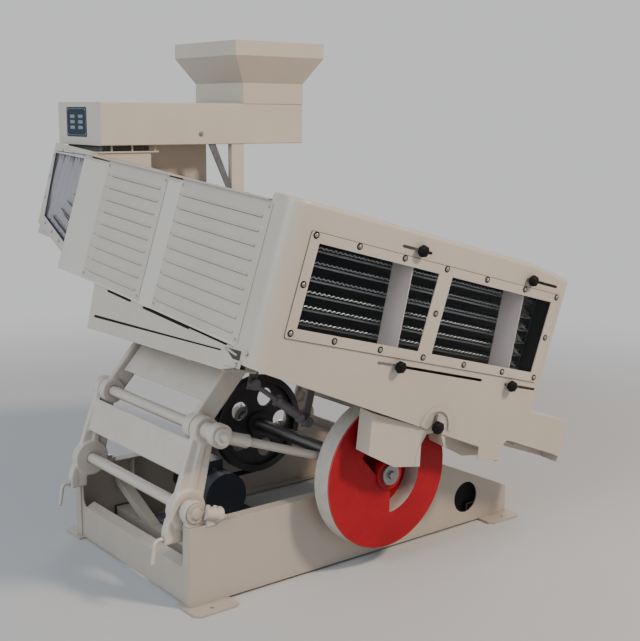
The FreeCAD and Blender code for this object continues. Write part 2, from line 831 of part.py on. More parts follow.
def motor():
    y1 = pulley_y - pulley_width / 2 - 22
    y0 = y1 - motor_length
    body = disc_y(motor_x, motor_z, motor_radius, y0 + 50, y1 - 26)
    fins = []
    for k in range(9):
        turn = math.radians(-20 + 27.5 * k)
        out = vec(math.cos(turn), 0, math.sin(turn))
        middle = vec(motor_x, y0 + 56, motor_z)
        far = middle + out * (motor_radius + 9)
        near = middle + out * (motor_radius - 6)
        side = vec(-out.z, 0, out.x) * 2
        corners = [near + side, near - side, far - side, far + side]
        fins.append(Part.Face(Part.makePolygon(corners + corners[:1])).extrude(vec(0, motor_length - 86, 0)))
    cowl = disc_y(motor_x, motor_z, motor_radius + 6, y0, y0 + 50)
    bell = Part.makeCone(motor_radius, 40, 26, vec(motor_x, y1 - 26, motor_z), vec(0, 1, 0))
    box_low = motor_z + motor_radius - 12
    box = block(motor_x - 45, motor_x + 45, y0 + 90, y0 + 180, box_low, box_low + 46)
    feet = [block(x - 24, x + 24, y0 + 70, y1 - 40, member_top + motor_plate, motor_z - 30)
            for x in (motor_x - 70, motor_x + 70)]
    whole = joined([body, cowl, bell, box] + feet + fins)
    return whole.cut(disc_y(motor_x, motor_z, motor_shaft_radius + running_gap, y1 - 60, y1 + 5))


def motor_rail():
    y1 = pulley_y - pulley_width / 2 - 50
    x0 = member_places[0] - member_width / 2 + 2 + brace_width + 2
    x1 = member_places[1] + member_width / 2
    return block(x0, x1, y1 - motor_rail_width, y1, member_top, member_top + motor_plate)


def connecting_rod():
    y0 = strap_y - strap_width / 2
    y1 = strap_y + strap_width / 2
    start = vec(rocker_up_x, strap_y, rocker_up_z)
    run = vec(drive_x, strap_y, drive_z).sub(start)
    reach = run.Length - (eccentric_radius + strap_play)
    run.normalize()
    boss = disc_y(rocker_up_x, rocker_up_z, rod_boss_radius, y0 - 3, y1 + 3)
    fork = rod(start + run * (rod_fork_start - 8), start + run * rod_fork_end, rod_fork_width / 2)
    nut = hex_prism(start + run * rod_fork_end, run, 40, 18)
    shank = rod(start + run * rod_fork_end, start + run * (reach - 6), rod_radius)
    bar = joined([boss, fork, nut, shank])
    bore = disc_y(rocker_up_x, rocker_up_z, rocker_shaft_radius + running_gap, y0 - 10, y1 + 10)
    strap_room = disc_y(drive_x, drive_z, eccentric_radius + strap_play + strap_wall, y0 - 9, y1 + 9)
    return less(bar, [bore, strap_room])


def eccentric_strap():
    y0 = strap_y - strap_width / 2
    y1 = strap_y + strap_width / 2
    inner = eccentric_radius + strap_play
    ring = disc_y(drive_x, drive_z, inner + strap_wall, y0, y1)
    ear = block(drive_x, drive_x + inner + strap_wall + strap_ear, y0 + 3, y1 - 3, drive_z - 14, drive_z + 14)
    return joined([ring, ear]).cut(disc_y(drive_x, drive_z, inner, y0 - 1, y1 + 1))


# Cradle

def cradle_side():
    y0 = cradle_outer_y - cradle_flange
    whole = block(cradle_left, cradle_right, y0, cradle_outer_y, 0, cradle_height)
    hollow = block(cradle_left - 1, cradle_right + 1, y0 - 1, cradle_outer_y - cradle_wall, cradle_wall,
                   cradle_height - cradle_wall)
    x, z = right_axis_on_cradle()
    return less(whole, [hollow, disc_y(x, z, rocker_shaft_radius + 4, y0, cradle_outer_y + 1)])


def right_axis_on_cradle():
    spot = cradle_place.inverse().multVec(vec(rocker_up_x + rocker_pitch, 0, rocker_up_z))
    return spot.x, spot.z


def cradle_bearing():
    x, z = right_axis_on_cradle()
    y1 = cradle_outer_y - cradle_wall
    ring = disc_y(x, z, cradle_bearing_radius, y1 - cradle_flange + cradle_wall, y1)
    return ring.cut(disc_y(x, z, rocker_shaft_radius + running_gap, y1 - 60, y1 + 1))


def cradle_cross_members():
    # members across between the webs of the side members, and two stubs out to the high end's corners
    members = []
    y_in = cradle_outer_y - cradle_wall
    half = cradle_cross_height / 2
    z0 = (cradle_height - cradle_cross_height) / 2
    z1 = z0 + cradle_cross_height
    for x in cradle_cross_places:
        middle = block(x - half, x + half, -y_in, y_in, z0, z1)
        members.append(middle.cut(cross_hollow(x, -y_in, y_in)))
    x = cradle_cross_places[0]
    for y0, y1 in ((-cradle_cross_front, -cradle_outer_y), (cradle_outer_y, cradle_cross_rear)):
        stub = block(x - half, x + half, y0, y1, z0, z1)
        members.append(stub.cut(cross_hollow(x, y0, y1)))
    return members


def cross_hollow(x, y0, y1):
    half = cradle_cross_height / 2 - cradle_wall
    middle = cradle_height / 2
    return block(x - half, x + half, y0 - 1, y1 + 1, middle - half, middle + half)


def cradle_arm():
    # arm from the upper rocker shaft to the underside of the side member
    spot = cradle_place.inverse().multVec(vec(rocker_up_x, 0, rocker_up_z))
    y0 = cradle_outer_y - cradle_flange
    y1 = cradle_outer_y
    top_x = cradle_arm_top
    web = link_plate(spot.x, spot.z, rocker_up_eye * 0.8, top_x, 10, 40, y0 + 9, y1 - 9)
    eye = disc_y(spot.x, spot.z, rocker_up_eye, y0, y1)
    shoe = block(top_x - cradle_shoe, top_x + cradle_shoe, y0, y1, -12, 0)
    above = block(-400, 400, y0 - 1, y1 + 1, 0, 400)
    arm = joined([web.cut(above), eye, shoe])
    return arm.cut(disc_y(spot.x, spot.z, rocker_shaft_radius + running_gap, y0 - 1, y1 + 1))


def cradle_plate():
    # cross plate between the two cradle arms
    spot = cradle_place.inverse().multVec(vec(rocker_up_x, 0, rocker_up_z))
    y = cradle_outer_y - cradle_flange
    run = vec(cradle_arm_top - spot.x, 0, 10 - spot.z)
    side = vec(-run.z, 0, run.x)
    side.normalize()
    low = cradle_plate_offset
    high = low + cross_plate_wall
    corners = []
    for share, off in ((cradle_plate_start, low), (cradle_plate_end, low), (cradle_plate_end, high),
                       (cradle_plate_start, high)):
        corner = spot + run * share + side * off
        corners.append((corner.x, corner.z))
    return outline_xz(corners, -y, y)


def deck_under(x, y):
    # height of the deck's underside above the cradle's underside at a place in the cradle frame
    low = deck_place.multVec(vec(0, 0, deck_bottom))
    here = cradle_place.multVec(vec(x, y, 0))
    gap = low.sub(here)
    return gap.dot(deck_square) / slope_square.dot(deck_square)


def tilt_supports():
    # short front pads and rear jack screws that set the tilt to the rear
    pieces = []
    y = cradle_outer_y - cradle_flange / 2
    for x in (cradle_left + 60, cradle_right - 60):
        for s in (-1, 1):
            rise = min(deck_under(x - 18, s * y - 18), deck_under(x - 18, s * y + 18)) - part_gap
            foot = block(x - 30, x + 30, s * y - 19, s * y + 19, cradle_height, cradle_height + 8)
            screw = rod(vec(x, s * y, cradle_height), vec(x, s * y, rise - 6), 12)
            nut = hex_prism(vec(x, s * y, cradle_height + 8), vec(0, 0, 1), 36, 10)
            head = block(x - 18, x + 18, s * y - 18, s * y + 18, rise - 8, rise)
            pieces.append(joined([foot, screw, nut, head]))
    return pieces


def tilt_adjuster():
    # slanting adjuster with a turnbuckle, hung from two cross members of the cradle
    low_edge = (cradle_height - cradle_cross_height) / 2
    top = vec(cradle_cross_places[1], adjuster_y_top, -adjuster_drop_top)
    low = vec(cradle_cross_places[2], adjuster_y_low, -adjuster_drop_low)
    run = low.sub(top)
    length = run.Length
    run.normalize()
    screw = rod(top, low, 9)
    sleeve = rod(top + run * length * 0.42, top + run * length * 0.86, 17)
    collars = [hex_prism(top + run * length * s, run, 40, 14) for s in (0.40, 0.84)]
    eyes = [disc_y(p.x, p.z, 20, p.y - 12, p.y + 12) for p in (top, low)]
    bar = joined([screw, sleeve] + collars + eyes)
    hangers = [block(p.x - 16, p.x + 16, p.y + 12, p.y + 22, p.z - 22, low_edge) for p in (top, low)]
    return [bar] + hangers


# Deck body, in the deck frame

def deck_floor():
    left = deck_left + sheet
    right = deck_right - sheet
    return block(left, right, deck_front, deck_rear, deck_bottom, deck_bottom + sheet)


def deck_walls():
    x = deck_right - sheet
    high = deck_top - sheet
    right = block(x, deck_right, deck_front, deck_rear, deck_bottom, high)
    rear = block(chamber_right, x, deck_rear - sheet, deck_rear, deck_bottom + sheet, high)
    rails = []
    for k in range(tray_count):
        z = tray_first - k * tray_pitch - dimple_depth / 2 - tray_wall
        rails.append(block(tray_right - 10, deck_right - sheet, tray_front, tray_rear, z - rail_height, z))
    return [right, rear] + rails


def deck_top_sheet():
    # sheet with a folded lip over the covers of the high end
    left = deck_left - deck_lip
    top = block(left, deck_right, deck_front, deck_rear, deck_top - sheet, deck_top)
    fold = block(left, left + cover_wall, deck_front, deck_rear, deck_top - 2 * sheet, deck_top - sheet)
    return joined([top, fold])


def end_frame():
    # frame of the high end: a sheet with two vents behind the louvred covers, raised stiles and tray rails
    x0 = deck_left
    wall = block(x0, x0 + sheet, deck_front, deck_rear, deck_bottom, deck_top - sheet)
    cuts = []
    x1 = x0 + sheet + 1
    for b0, b1 in (cover_near, cover_far):
        start = max(b0, deck_front) + vent_edge
        high = deck_top - vent_edge - 8
        cuts.append(block(x0 - 1, x1, start, b1 - vent_edge, deck_bottom + vent_edge, high))
    for b0, b1 in ((cover_near[1] + 2, cover_far[0] - 2), (cover_far[1] + 2, flare_top_end)):
        cuts.append(block(x0 - 1, x1, b0, b1, stile_top, deck_top - 2 * sheet))
    frame = joined([less(wall, cuts)] + end_stiles())
    rails = []
    for k in range(tray_count):
        z = tray_first - k * tray_pitch - dimple_depth / 2 - tray_wall
        rails.append(block(x0 + sheet, tray_left + 12, tray_front, tray_rear, z - rail_height, z))
    return [frame] + rails


def end_stiles():
    # a bowed stile between the covers, and a flared one that ends flush with the far cover
    x0 = deck_left
    near = cover_near[1] + 2 * part_gap
    far = cover_far[0] - 2 * part_gap
    bow = [vec(x0, near, 0), vec(x0 - stile_rise, (near + far) / 2, 0), vec(x0, far, 0)]
    start = cover_far[1] + 2 * part_gap
    end = deck_rear
    middle = (start + end) / 2
    flare = [vec(x0, start, 0), vec(x0 - flare_rise * 0.32, middle, 0), vec(x0 - flare_rise, end, 0)]
    stiles = []
    for points, foot in ((bow, None), (flare, vec(x0, end, 0))):
        edges = [Part.Arc(*points).toShape()]
        last = points[2]
        if foot:
            edges.append(Part.LineSegment(last, foot).toShape())
            last = foot
        edges.append(Part.LineSegment(last, points[0]).toShape())
        face = Part.Face(Part.Wire(edges))
        face.translate(vec(0, 0, deck_bottom))
        stiles.append(face.extrude(vec(0, 0, stile_top - deck_bottom)))
    return stiles


def louvre_cover(span, slot_span):
    x1 = deck_left
    x0 = x1 - cover_wall
    panel = block(x0, x1, span[0], span[1], cover_bottom, cover_top)
    pieces = [panel]
    cuts = []
    b0, b1 = slot_span
    for k in range(louvre_count):
        z = louvre_first - k * louvre_pitch
        rise = x0 - louvre_rise
        pieces.append(outline_xz([(x0, z + louvre_height), (rise, z + 1), (rise, z), (x0, z)], b0, b1))
        lip = x0 - louvre_rise + louvre_wall
        cuts.append(outline_xz([(x1 + 1, z + louvre_height - 3), (x0, z + louvre_height - 3), (lip, z),
                                (lip, z - 1), (x1 + 1, z - 1)], b0 + 3, b1 - 3))
    return joined(pieces).cut(Part.makeCompound(cuts))


def end_skirt():
    # skirt under the high end, level at the bottom, with a long parting slot
    x0 = skirt_a
    x1 = x0 + sheet
    plate = outline_yz(skirt_outline, x0, x1)
    far_b, far_c = skirt_outline[2]
    near_b, near_c = skirt_outline[3]
    slope = (far_c - near_c) / (far_b - near_b)
    lower = [(b, near_c + slope * (b - near_b) + up) for b, up in skirt_slot]
    upper = [(b, c + skirt_slot_width) for b, c in reversed(lower)]
    slot = outline_yz(lower + upper, x0 - 1, x1 + 1)
    fold = outline_yz([(far_b, far_c), (near_b, near_c), (near_b, near_c + 4), (far_b, far_c + 4)],
                      x0, x0 + skirt_fold)
    gaps = [block(x0 - 1, x1 + 1, b0, b1, deck_bottom - depth, deck_bottom + 1)
            for b0, b1, depth in skirt_gaps]
    skirt = on_deck(joined([less(plate, [slot] + gaps), fold]))
    return less(skirt, side_member_room())


def side_member_room():
    # room round the ends of the two side members of the cradle
    gap = 2 * part_gap
    y1 = cradle_outer_y + gap
    room = block(cradle_left - gap, 0, y1 - cradle_flange - 2 * gap, y1, -gap, cradle_height + gap)
    return [on_cradle(room), mirrored(on_cradle(room))]


def hood_outline(drop):
    return [(deck_left, hood_drop_left), (hood_drop_right_a, hood_drop_right), (spout_gap_left, spout_gap_c),
            (spout_gap_right, spout_gap_c), (deck_right, hood_drop_end),
            (deck_right, hood_chamfer_end - drop), (hood_chamfer_start, hood_top - drop),
            (deck_left, hood_top - drop)]


def hood_plan(inset, radius, depth):
    # plan of the hood with its round left corner, in the deck frame
    a0 = deck_left + inset
    a1 = deck_right - inset
    b0 = inset
    centre = (a0 + radius, b0 + radius)
    middle = vec(centre[0] - radius * math.cos(math.pi / 4), centre[1] - radius * math.sin(math.pi / 4), 0)
    edges = [Part.LineSegment(vec(a1, depth, 0), vec(a0, depth, 0)).toShape(),
             Part.LineSegment(vec(a0, depth, 0), vec(a0, centre[1], 0)).toShape(),
             Part.Arc(vec(a0, centre[1], 0), middle, vec(centre[0], b0, 0)).toShape(),
             Part.LineSegment(vec(centre[0], b0, 0), vec(a1, b0, 0)).toShape(),
             Part.LineSegment(vec(a1, b0, 0), vec(a1, depth, 0)).toShape()]
    return Part.Face(Part.Wire(edges))


def hood_body(inset, depth, edge):
    low = hood_drop_right - 60
    top = hood_top - inset
    plan = hood_plan(inset, hood_corner - inset, depth)
    plan.translate(vec(0, 0, low))
    body = plan.extrude(vec(0, 0, top - low))
    low_end = hood_chamfer_end - inset
    past = deck_right + 5
    drop = outline_xz([(hood_chamfer_start, top), (past, top), (past, low_end)], -1, depth + 1)
    body = body.cut(drop)
    front = []
    for e in body.Edges:
        box = e.BoundBox
        on_top = box.ZMin > low_end - 2 and box.ZLength < 40
        inside = box.XMax < deck_right - inset + 1 and box.YMin < depth - 1
        on_left = box.XMax < deck_left + inset + 1
        across = box.YLength > hood_corner and box.XMin > deck_left + inset + 1
        if on_top and inside and (box.YMax < hood_corner + 1 or on_left) and not across:
            front.append(e)
    return body.makeFillet(edge, front)


def front_hood():
    outer = hood_body(0, deck_front, hood_edge)
    inner = hood_body(sheet, deck_front + 20, hood_edge - sheet)
    shell = outer.cut(inner)
    shell = shell.common(outline_xz(hood_outline(-1), -1, deck_front + 1))
    cuts = []
    for a0, a1 in (window_left, window_right):
        cuts.append(block(a0 - window_lap, a1 + window_lap, -1, sheet + 1, window_bottom - window_lap,
                          window_top + window_lap))
    for a0, a1, c in slots:
        cuts.append(slot_cut(a0, a1, c))
    cuts.append(disc_y(diverter_a, diverter_c, diverter_shaft + running_gap, -1, sheet + 1))
    return shell.cut(Part.makeCompound(cuts))


def slot_cut(a0, a1, c):
    r = slot_width / 2
    return joined([block(a0 + r, a1 - r, -1, sheet + 1, c - r, c + r), disc_y(a0 + r, c, r, -1, sheet + 1),
                   disc_y(a1 - r, c, r, -1, sheet + 1)])


def window_bolt_spots():
    spots = [(a, c) for c in (0, -window_height) for a in window_bolt_places]
    middle = (window_left[1] + window_right[0]) / 2
    return spots + [(a, -window_height / 2) for a in (0, middle, window_width)]


def window_frame():
    plate = block(-window_margin_side, window_width + window_margin_side, -window_plate, 0,
                  -window_height - window_margin_bottom, window_margin_top)
    plate = plate.makeFillet(8, [e for e in plate.Edges if abs(e.BoundBox.YLength - window_plate) < 1e-6])
    b0 = -window_plate - 1
    cuts = [block(a0, a1, b0, 1, window_bottom, window_top) for a0, a1 in (window_left, window_right)]
    cuts += [disc_y(a, c, window_bolt_radius + part_gap, b0, 1) for a, c in window_bolt_spots()]
    return less(plate, cuts)


def window_panes():
    panes = []
    for a0, a1 in (window_left, window_right):
        lap = window_lap - part_gap
        panes.append(block(a0 - lap, a1 + lap, 0, sheet, window_bottom - lap, window_top + lap))
    return panes


def window_bolts():
    bolts = []
    for a, c in window_bolt_spots():
        head = disc_y(a, c, window_bolt_head_radius, -window_plate - window_bolt_head, -window_plate)
        front = [e for e in head.Edges if e.BoundBox.YMax < -window_plate - window_bolt_head + 0.1]
        head = head.makeChamfer(window_bolt_head * 0.6, front)
        shank = disc_y(a, c, window_bolt_radius, -window_plate, 0)
        bolts.append(joined([head, shank]))
    return bolts


def hood_back():
    # inner back plate of the hood below the trays; it leans forward to the spouts
    low_b = 86.0
    slope = (hood_drop_right - hood_drop_left) / (hood_drop_right_a - deck_left)
    a_left = skirt_a + sheet + part_gap
    c_left = hood_drop_left + slope * (a_left - deck_left)
    right = hood_drop_end + 2
    lean = [(a_left, c_left), (hood_drop_right_a, hood_drop_right), (spout_gap_left, spout_gap_c),
            (deck_right - sheet, right), (deck_right - sheet, deck_bottom), (a_left, deck_bottom)]
    prism = outline_xz(lean, sheet, deck_front)
    high = hood_drop_right - 20
    wedge = outline_yz([(deck_front - sheet, deck_bottom), (deck_front, deck_bottom), (low_b + sheet, high),
                        (low_b, high)], deck_left, deck_right)
    return prism.common(wedge)


# Trays

def tray(k):
    # corrugated stand for the rows of dimples: flat crests and valleys across the flow
    z = tray_first - k * tray_pitch
    top = []
    count = int((tray_right - tray_left - 40) / dimple_pitch)
    start = tray_left + 20
    quarter = dimple_pitch / 4
    for n in range(count):
        a = start + n * dimple_pitch
        low = z - dimple_depth / 2
        high = z + dimple_depth / 2
        top += [(a, low), (a + quarter, high), (a + 2 * quarter, high), (a + 3 * quarter, low)]
    top = [(tray_left, low)] + top + [(tray_right, low)]
    bottom = [(a, c - tray_wall) for a, c in reversed(top)]
    return outline_xz(top + bottom, tray_front, tray_rear)


# Spouts, in the deck frame

def hood_edge_line(a):
    # height of the hood's lower edge at a place along the hood
    slope = (hood_drop_right - hood_drop_left) / (hood_drop_right_a - deck_left)
    return hood_drop_left + slope * (a - deck_left)


def spout_left():
    # chute that leans back towards its left side, open below
    front = spout_left_front
    depth = spout_left_depth
    a0 = front[0][0]
    a1 = front[-1][0]
    slab = outline_xz(front, -20, depth)
    lean = spout_left_lean
    plan = outline_xy([(a0 - 5, lean), (a1 + 5, 0.5), (a1 + 5, depth), (a0 - 5, depth)], -far_away, 0)
    left = a0 + spout_left_wall + sheet
    right = a1 - spout_left_right_wall
    hollow_plan = outline_xy([(left, lean + sheet), (right, 2 * sheet), (right, depth - sheet),
                              (left, depth - sheet)], -far_away, 0)
    high = front[0][1] + 26
    inside = [(a0 + 4, high), (front[1][0] + 4, front[1][1] - 40), (front[2][0], front[2][1] - 39),
              (front[3][0] - 4, front[3][1] - 32), (front[4][0] - 4, front[4][1]),
              (front[5][0] - 4, front[5][1]), (front[4][0] + 1, high)]
    under = outline_xz([(a0 - 20, hood_edge_line(a0 - 20)), (a1 + 10, hood_edge_line(a1 + 10)),
                        (a1 + 10, -far_away), (a0 - 20, -far_away)], -30, depth + 10)
    body = slab.common(plan).common(under)
    return body.cut(outline_xz(inside, 0, depth).common(hollow_plan))


def spout_middle():
    # front plate and the sloping channel behind it that brings the middlings across
    plate = outline_xz(spout_middle_front, 0, sheet)
    chute = outline_xz(spout_middle_chute, sheet, spout_middle_depth)
    p = spout_middle_chute
    hollow = outline_xz([(p[0][0] + 10, p[0][1] + 26), (p[1][0] + 6, p[1][1] + 4), (p[2][0], p[2][1] - 68),
                         (p[3][0] - 4, p[3][1] - 80), (p[4][0] - 4, p[4][1]), (p[5][0] - 7, p[5][1] + 20)],
                        sheet, spout_middle_depth - sheet)
    return joined([plate, chute.cut(hollow)])


def spout_right():
    # spout past the low end of the hood, open below
    plate = outline_xz(spout_right_plate, 0, sheet)
    p = spout_right_body
    body = outline_xz(p, sheet, spout_right_depth)
    hollow = outline_xz([(p[0][0] - 60, p[0][1] - 6), (p[1][0] - 6, p[1][1] - 4), (p[2][0] - 9, p[2][1] - 78),
                         (p[3][0] + 6, p[3][1] - 102), (p[4][0] + 4, p[4][1] + 4)],
                        sheet, spout_right_depth - sheet)
    return joined([plate, body.cut(hollow)])


def arc_guide():
    # half ring of flat bar above the diverter's knob
    a = diverter_a + arc_guide_shift
    c = diverter_c - arc_guide_drop
    outer = disc_y(a, c, diverter_arc + diverter_arc_width / 2, -arc_guide_drop, 0)
    inner = disc_y(a, c, diverter_arc - diverter_arc_width / 2, -arc_guide_drop - 1, 1)
    keep = block(a - 2 * diverter_arc, a + 2 * diverter_arc, -arc_guide_drop, 0, c, c + 2 * diverter_arc)
    return outer.cut(inner).common(keep)


def knob(a, c, back, shaft_radius):
    # faceted grip with a tapered nose and foot, on a stud that runs through the slot
    foot = hex_cone(a, c, knob_radius * 0.7, knob_radius, -knob_face, -knob_face - knob_taper)
    grip = hex_prism(vec(a, -knob_face - knob_taper, c), vec(0, -1, 0), knob_radius * math.sqrt(3), knob_grip)
    far = -knob_face - knob_taper - knob_grip
    nose = hex_cone(a, c, knob_radius, knob_radius * 0.6, far, far - knob_taper)
    stud = disc_y(a, c, shaft_radius, -knob_face, back)
    return joined([foot, grip, nose, stud])


def hex_cone(a, c, r0, r1, b0, b1):
    rings = []
    for r, b in ((r0, b0), (r1, b1)):
        turns = [math.radians(60 * k) for k in range(7)]
        rings.append(Part.makePolygon([vec(a + r * math.cos(t), b, c + r * math.sin(t)) for t in turns]))
    return Part.makeLoft(rings, True, True)


def splitter(place):
    # leaning plate across the tray outlets, with a tab for a clamp stud behind each slot
    high = slots[0][2]
    low = slots[1][2]
    left = [a - stud_radius - splitter_wall for a in place]
    right = [a - stud_radius for a in place]
    reach = splitter_tab
    top = high + reach
    foot = low - reach
    plate = outline_xz([(left[0], top), (right[0], top), (right[1], foot), (left[1], foot)],
                       splitter_start, splitter_start + splitter_depth)
    back = splitter_start + splitter_wall
    tabs = [block(a - stud_radius - 1, a + reach, splitter_start, back, c - reach, c + reach)
            for a, c in zip(place, (high, low))]
    holes = [disc_y(a, c, stud_radius, 0, back) for a, c in zip(place, (high, low))]
    return less(joined([plate] + tabs), holes)


def splitter_knobs(place):
    back = splitter_start + splitter_wall
    return [knob(a, slot[2], back, stud_radius) for a, slot in zip(place, slots)]


def diverter_flap():
    shaft = disc_y(diverter_a, diverter_c, diverter_shaft, -diverter_knob_face, 74)
    flap = block(diverter_a - 3, diverter_a + 3, 12, 74, diverter_c - 4, diverter_c + 62)
    lever = block(diverter_a - 5, diverter_a + 5, -8, -5, diverter_c, diverter_c + 44)
    return joined([shaft, flap, lever])


def diverter_knob():
    grip_end = -diverter_knob_face - 22
    radius = diverter_knob_radius
    face = vec(diverter_a, -diverter_knob_face, diverter_c)
    grip = hex_prism(face, vec(0, -1, 0), radius * math.sqrt(3), 22)
    nose = hex_cone(diverter_a, diverter_c, radius, radius * 0.6, grip_end, grip_end - 9)
    return joined([grip, nose])


# Feed chamber, in the deck frame

def chamber_outline(inset):
    return [(deck_rear, chamber_top - inset), (chamber_rear_top - inset, chamber_top - inset),
            (chamber_rear_low - inset, chamber_low_c + inset * 0.6), (1414, chamber_foot_c + inset),
            (deck_rear, deck_bottom + inset)]


def feed_chamber():
    outer = outline_yz(chamber_outline(0), deck_left, chamber_right)
    hollow = outline_yz([(deck_rear - 5, chamber_top - sheet)] + chamber_outline(sheet)[1:4]
                        + [(deck_rear - 5, deck_bottom + sheet)], deck_left + sheet, chamber_right - sheet)
    cuts = [hollow, outline_yz(feed_window_outline(0), deck_left - 1, deck_left + sheet + 1)]
    return less(outer, cuts + [chamber_inlet(chamber_top - 10, chamber_top + 10)])


def chamber_inlet(c0, c1):
    a0, a1, b0, b1 = chamber_inlet_span
    return block(a0, a1, b0, b1, c0, c1)


def feed_window_outline(grow):
    # straight offset of the window's four corners
    middle_b = sum(b for b, c in feed_window) / 4
    middle_c = sum(c for b, c in feed_window) / 4
    corners = []
    for b, c in feed_window:
        side = 1 if b > middle_b else -1
        rise = 1 if c > middle_c else -1
        corners.append((b + side * grow, c + rise * grow))
    return corners


def feed_window_gasket():
    plate = outline_yz(feed_window_outline(gasket_lap), deck_left - gasket_wall, deck_left)
    return plate.cut(outline_yz(feed_window_outline(-gasket_lap), deck_left - 5, deck_left + 1))


def feed_window_pane():
    return outline_yz(feed_window_outline(-part_gap), deck_left, deck_left + sheet)


def chute_tip(k):
    # outer end of a chute: how far it reaches behind the deck, and its height
    b0 = tray_rear + 4
    b1 = b0 + chute_first + chute_step * k
    z = tray_first - k * tray_pitch + dimple_depth / 2
    return b0, z, b1, z + (b1 - b0) * chute_rise


def feed_chutes():
    # fan of sloping chutes, one to each tray, below a fluted plate that spreads the grain
    chutes = []
    for k in range(tray_count):
        b0, low, b1, high = chute_tip(k)
        points = [(b0, low), (b1, high), (b1, high + chute_wall), (b0, low + chute_wall)]
        chutes.append(outline_yz(points, deck_left + sheet, chamber_right - sheet))
    return chutes + [fluted_plate()]


def fluted_plate():
    b = deck_rear + 3 * sheet
    end = chamber_rear_low - 3 * sheet
    high = chamber_top - sheet
    front = []
    deep = flute_a + flute_depth
    while b + flute_pitch < end:
        front += [(flute_a, b), (flute_a, b + flute_pitch * 0.3), (deep, b + flute_pitch * 0.5),
                  (deep, b + flute_pitch * 0.8)]
        b += flute_pitch
    back = [(a + flute_wall, b) for a, b in reversed(front)]
    sheet_prism = outline_xy(front + back, flute_low_c, high)
    lower = []
    for k in range(1, tray_count):
        reach, height = chute_tip(k)[2:]
        lower.append((reach, height + 4 * chute_wall))
    room = outline_yz(lower + [(end, flute_low_c), (end, high), (lower[0][0], high)], flute_a - 5,
                      flute_a + flute_depth + 10)
    return sheet_prism.common(room)


def feed_transition():
    # box between the level duct and the sloping chamber, standing on a shallow collar over the chamber
    left = duct_left + 14
    front = duct_front + transition_setback
    step = front + transition_step
    low = duct_bottom - far_away / 2
    rear = duct_rear - transition_setback
    top = duct_bottom - neck_gap
    middle = transition_middle
    out = flange_out
    near_part = hollow_box(left, middle, front, rear, low, top)
    far_part = hollow_box(middle - 2 * sheet, transition_right, step, rear, low, duct_bottom)
    neck = hollow_box(left + out, middle - out, front + out, rear - out, top - 1, duct_bottom)
    rim = block(left - out, middle + 4 * out, front - out, rear, top - flange_wall, top)
    studs = [rod(vec(x, front - 1, top - 1), vec(x, front - 1, duct_bottom), stud_radius)
             for x in stud_places]
    wall = sheet + out
    passage = block(left + wall, middle - wall, front + wall, rear - wall, low, duct_bottom + 1)
    side_passage = block(middle - 2 * wall, transition_right - sheet, step + sheet, rear - wall, low,
                         duct_bottom + 1)
    shell = less(joined([near_part, far_part, neck, rim] + studs), [passage, side_passage])
    above = chamber_top + collar_height - 1
    below = on_deck(block(-far_away, 2 * far_away, -far_away, 3 * far_away, -2 * far_away, above))
    return joined([shell.cut(below), on_deck(transition_collar())])


def transition_collar():
    # shallow cap over the feed chamber, open below, with the grain inlet through its top
    high = chamber_top + collar_height
    a1 = chamber_right - 4 * sheet
    b0 = collar_start
    b1 = chamber_rear_top
    outer = block(deck_left, a1, b0, b1, chamber_top + part_gap, high)
    hollow = block(deck_left + sheet, a1 - sheet, b0 + sheet, b1 - sheet, chamber_top - 1, high - sheet)
    return less(outer, [hollow, chamber_inlet(high - 2 * sheet, high + 1)])


def hollow_box(x0, x1, y0, y1, z0, z1):
    inner = block(x0 + sheet, x1 - sheet, y0 + sheet, y1 - sheet, z0 - 1, z1 + 1)
    return block(x0, x1, y0, y1, z0, z1).cut(inner)


# Duct and hopper

def feed_duct():
    top = duct_bottom + duct_height
    outer = block(duct_left, duct_right, duct_front, duct_rear, duct_bottom, top)
    outer = outer.makeFillet(4, [e for e in outer.Edges if e.BoundBox.XLength > 100])
    wall = duct_wall
    x1 = duct_right - wall
    y0 = duct_front + wall
    y1 = duct_rear - wall
    inner = block(duct_left + wall, x1, y0, y1, duct_bottom + wall, top - wall)
    outlet_front = duct_front + transition_setback + transition_step + 20
    outlet = block(duct_left + 40, transition_right - 30, outlet_front, duct_rear - 50, duct_bottom - 1,
                   duct_bottom + wall + 1)
    inlet = block(neck_left + wall, x1, y0, y1, top - wall - 1, top + 1)
    return less(outer, [inner, outlet, inlet])


def square_ring(x, y, half_x, half_y, z):
    sides = ((-1, -1), (1, -1), (1, 1), (-1, 1), (-1, -1))
    return Part.makePolygon([vec(x + sx * half_x, y + sy * half_y, z) for sx, sy in sides])


def hopper_solid(inset, low, high):
    x = (neck_left + duct_right) / 2
    y = (duct_front + duct_rear) / 2
    neck_x = (duct_right - neck_left) / 2 - inset
    neck_y = (duct_rear - duct_front) / 2 - inset
    z0 = duct_bottom + duct_height
    z1 = z0 + neck_height
    z2 = z1 + hopper_flare
    z3 = z2 + hopper_rim
    flare = Part.makeLoft([square_ring(x, y, neck_x, neck_y, z1),
                           square_ring(x, y, hopper_half_x - inset, hopper_half_y - inset, z2)], True, True)
    neck = block(x - neck_x, x + neck_x, y - neck_y, y + neck_y, z0 - low, z1)
    rim = block(x - hopper_half_x + inset, x + hopper_half_x - inset, y - hopper_half_y + inset,
                y + hopper_half_y - inset, z2, z3 + high)
    return joined([neck, flare, rim])


def hopper():
    return hopper_solid(0, 0, 0).cut(hopper_solid(duct_wall, 1, 1))


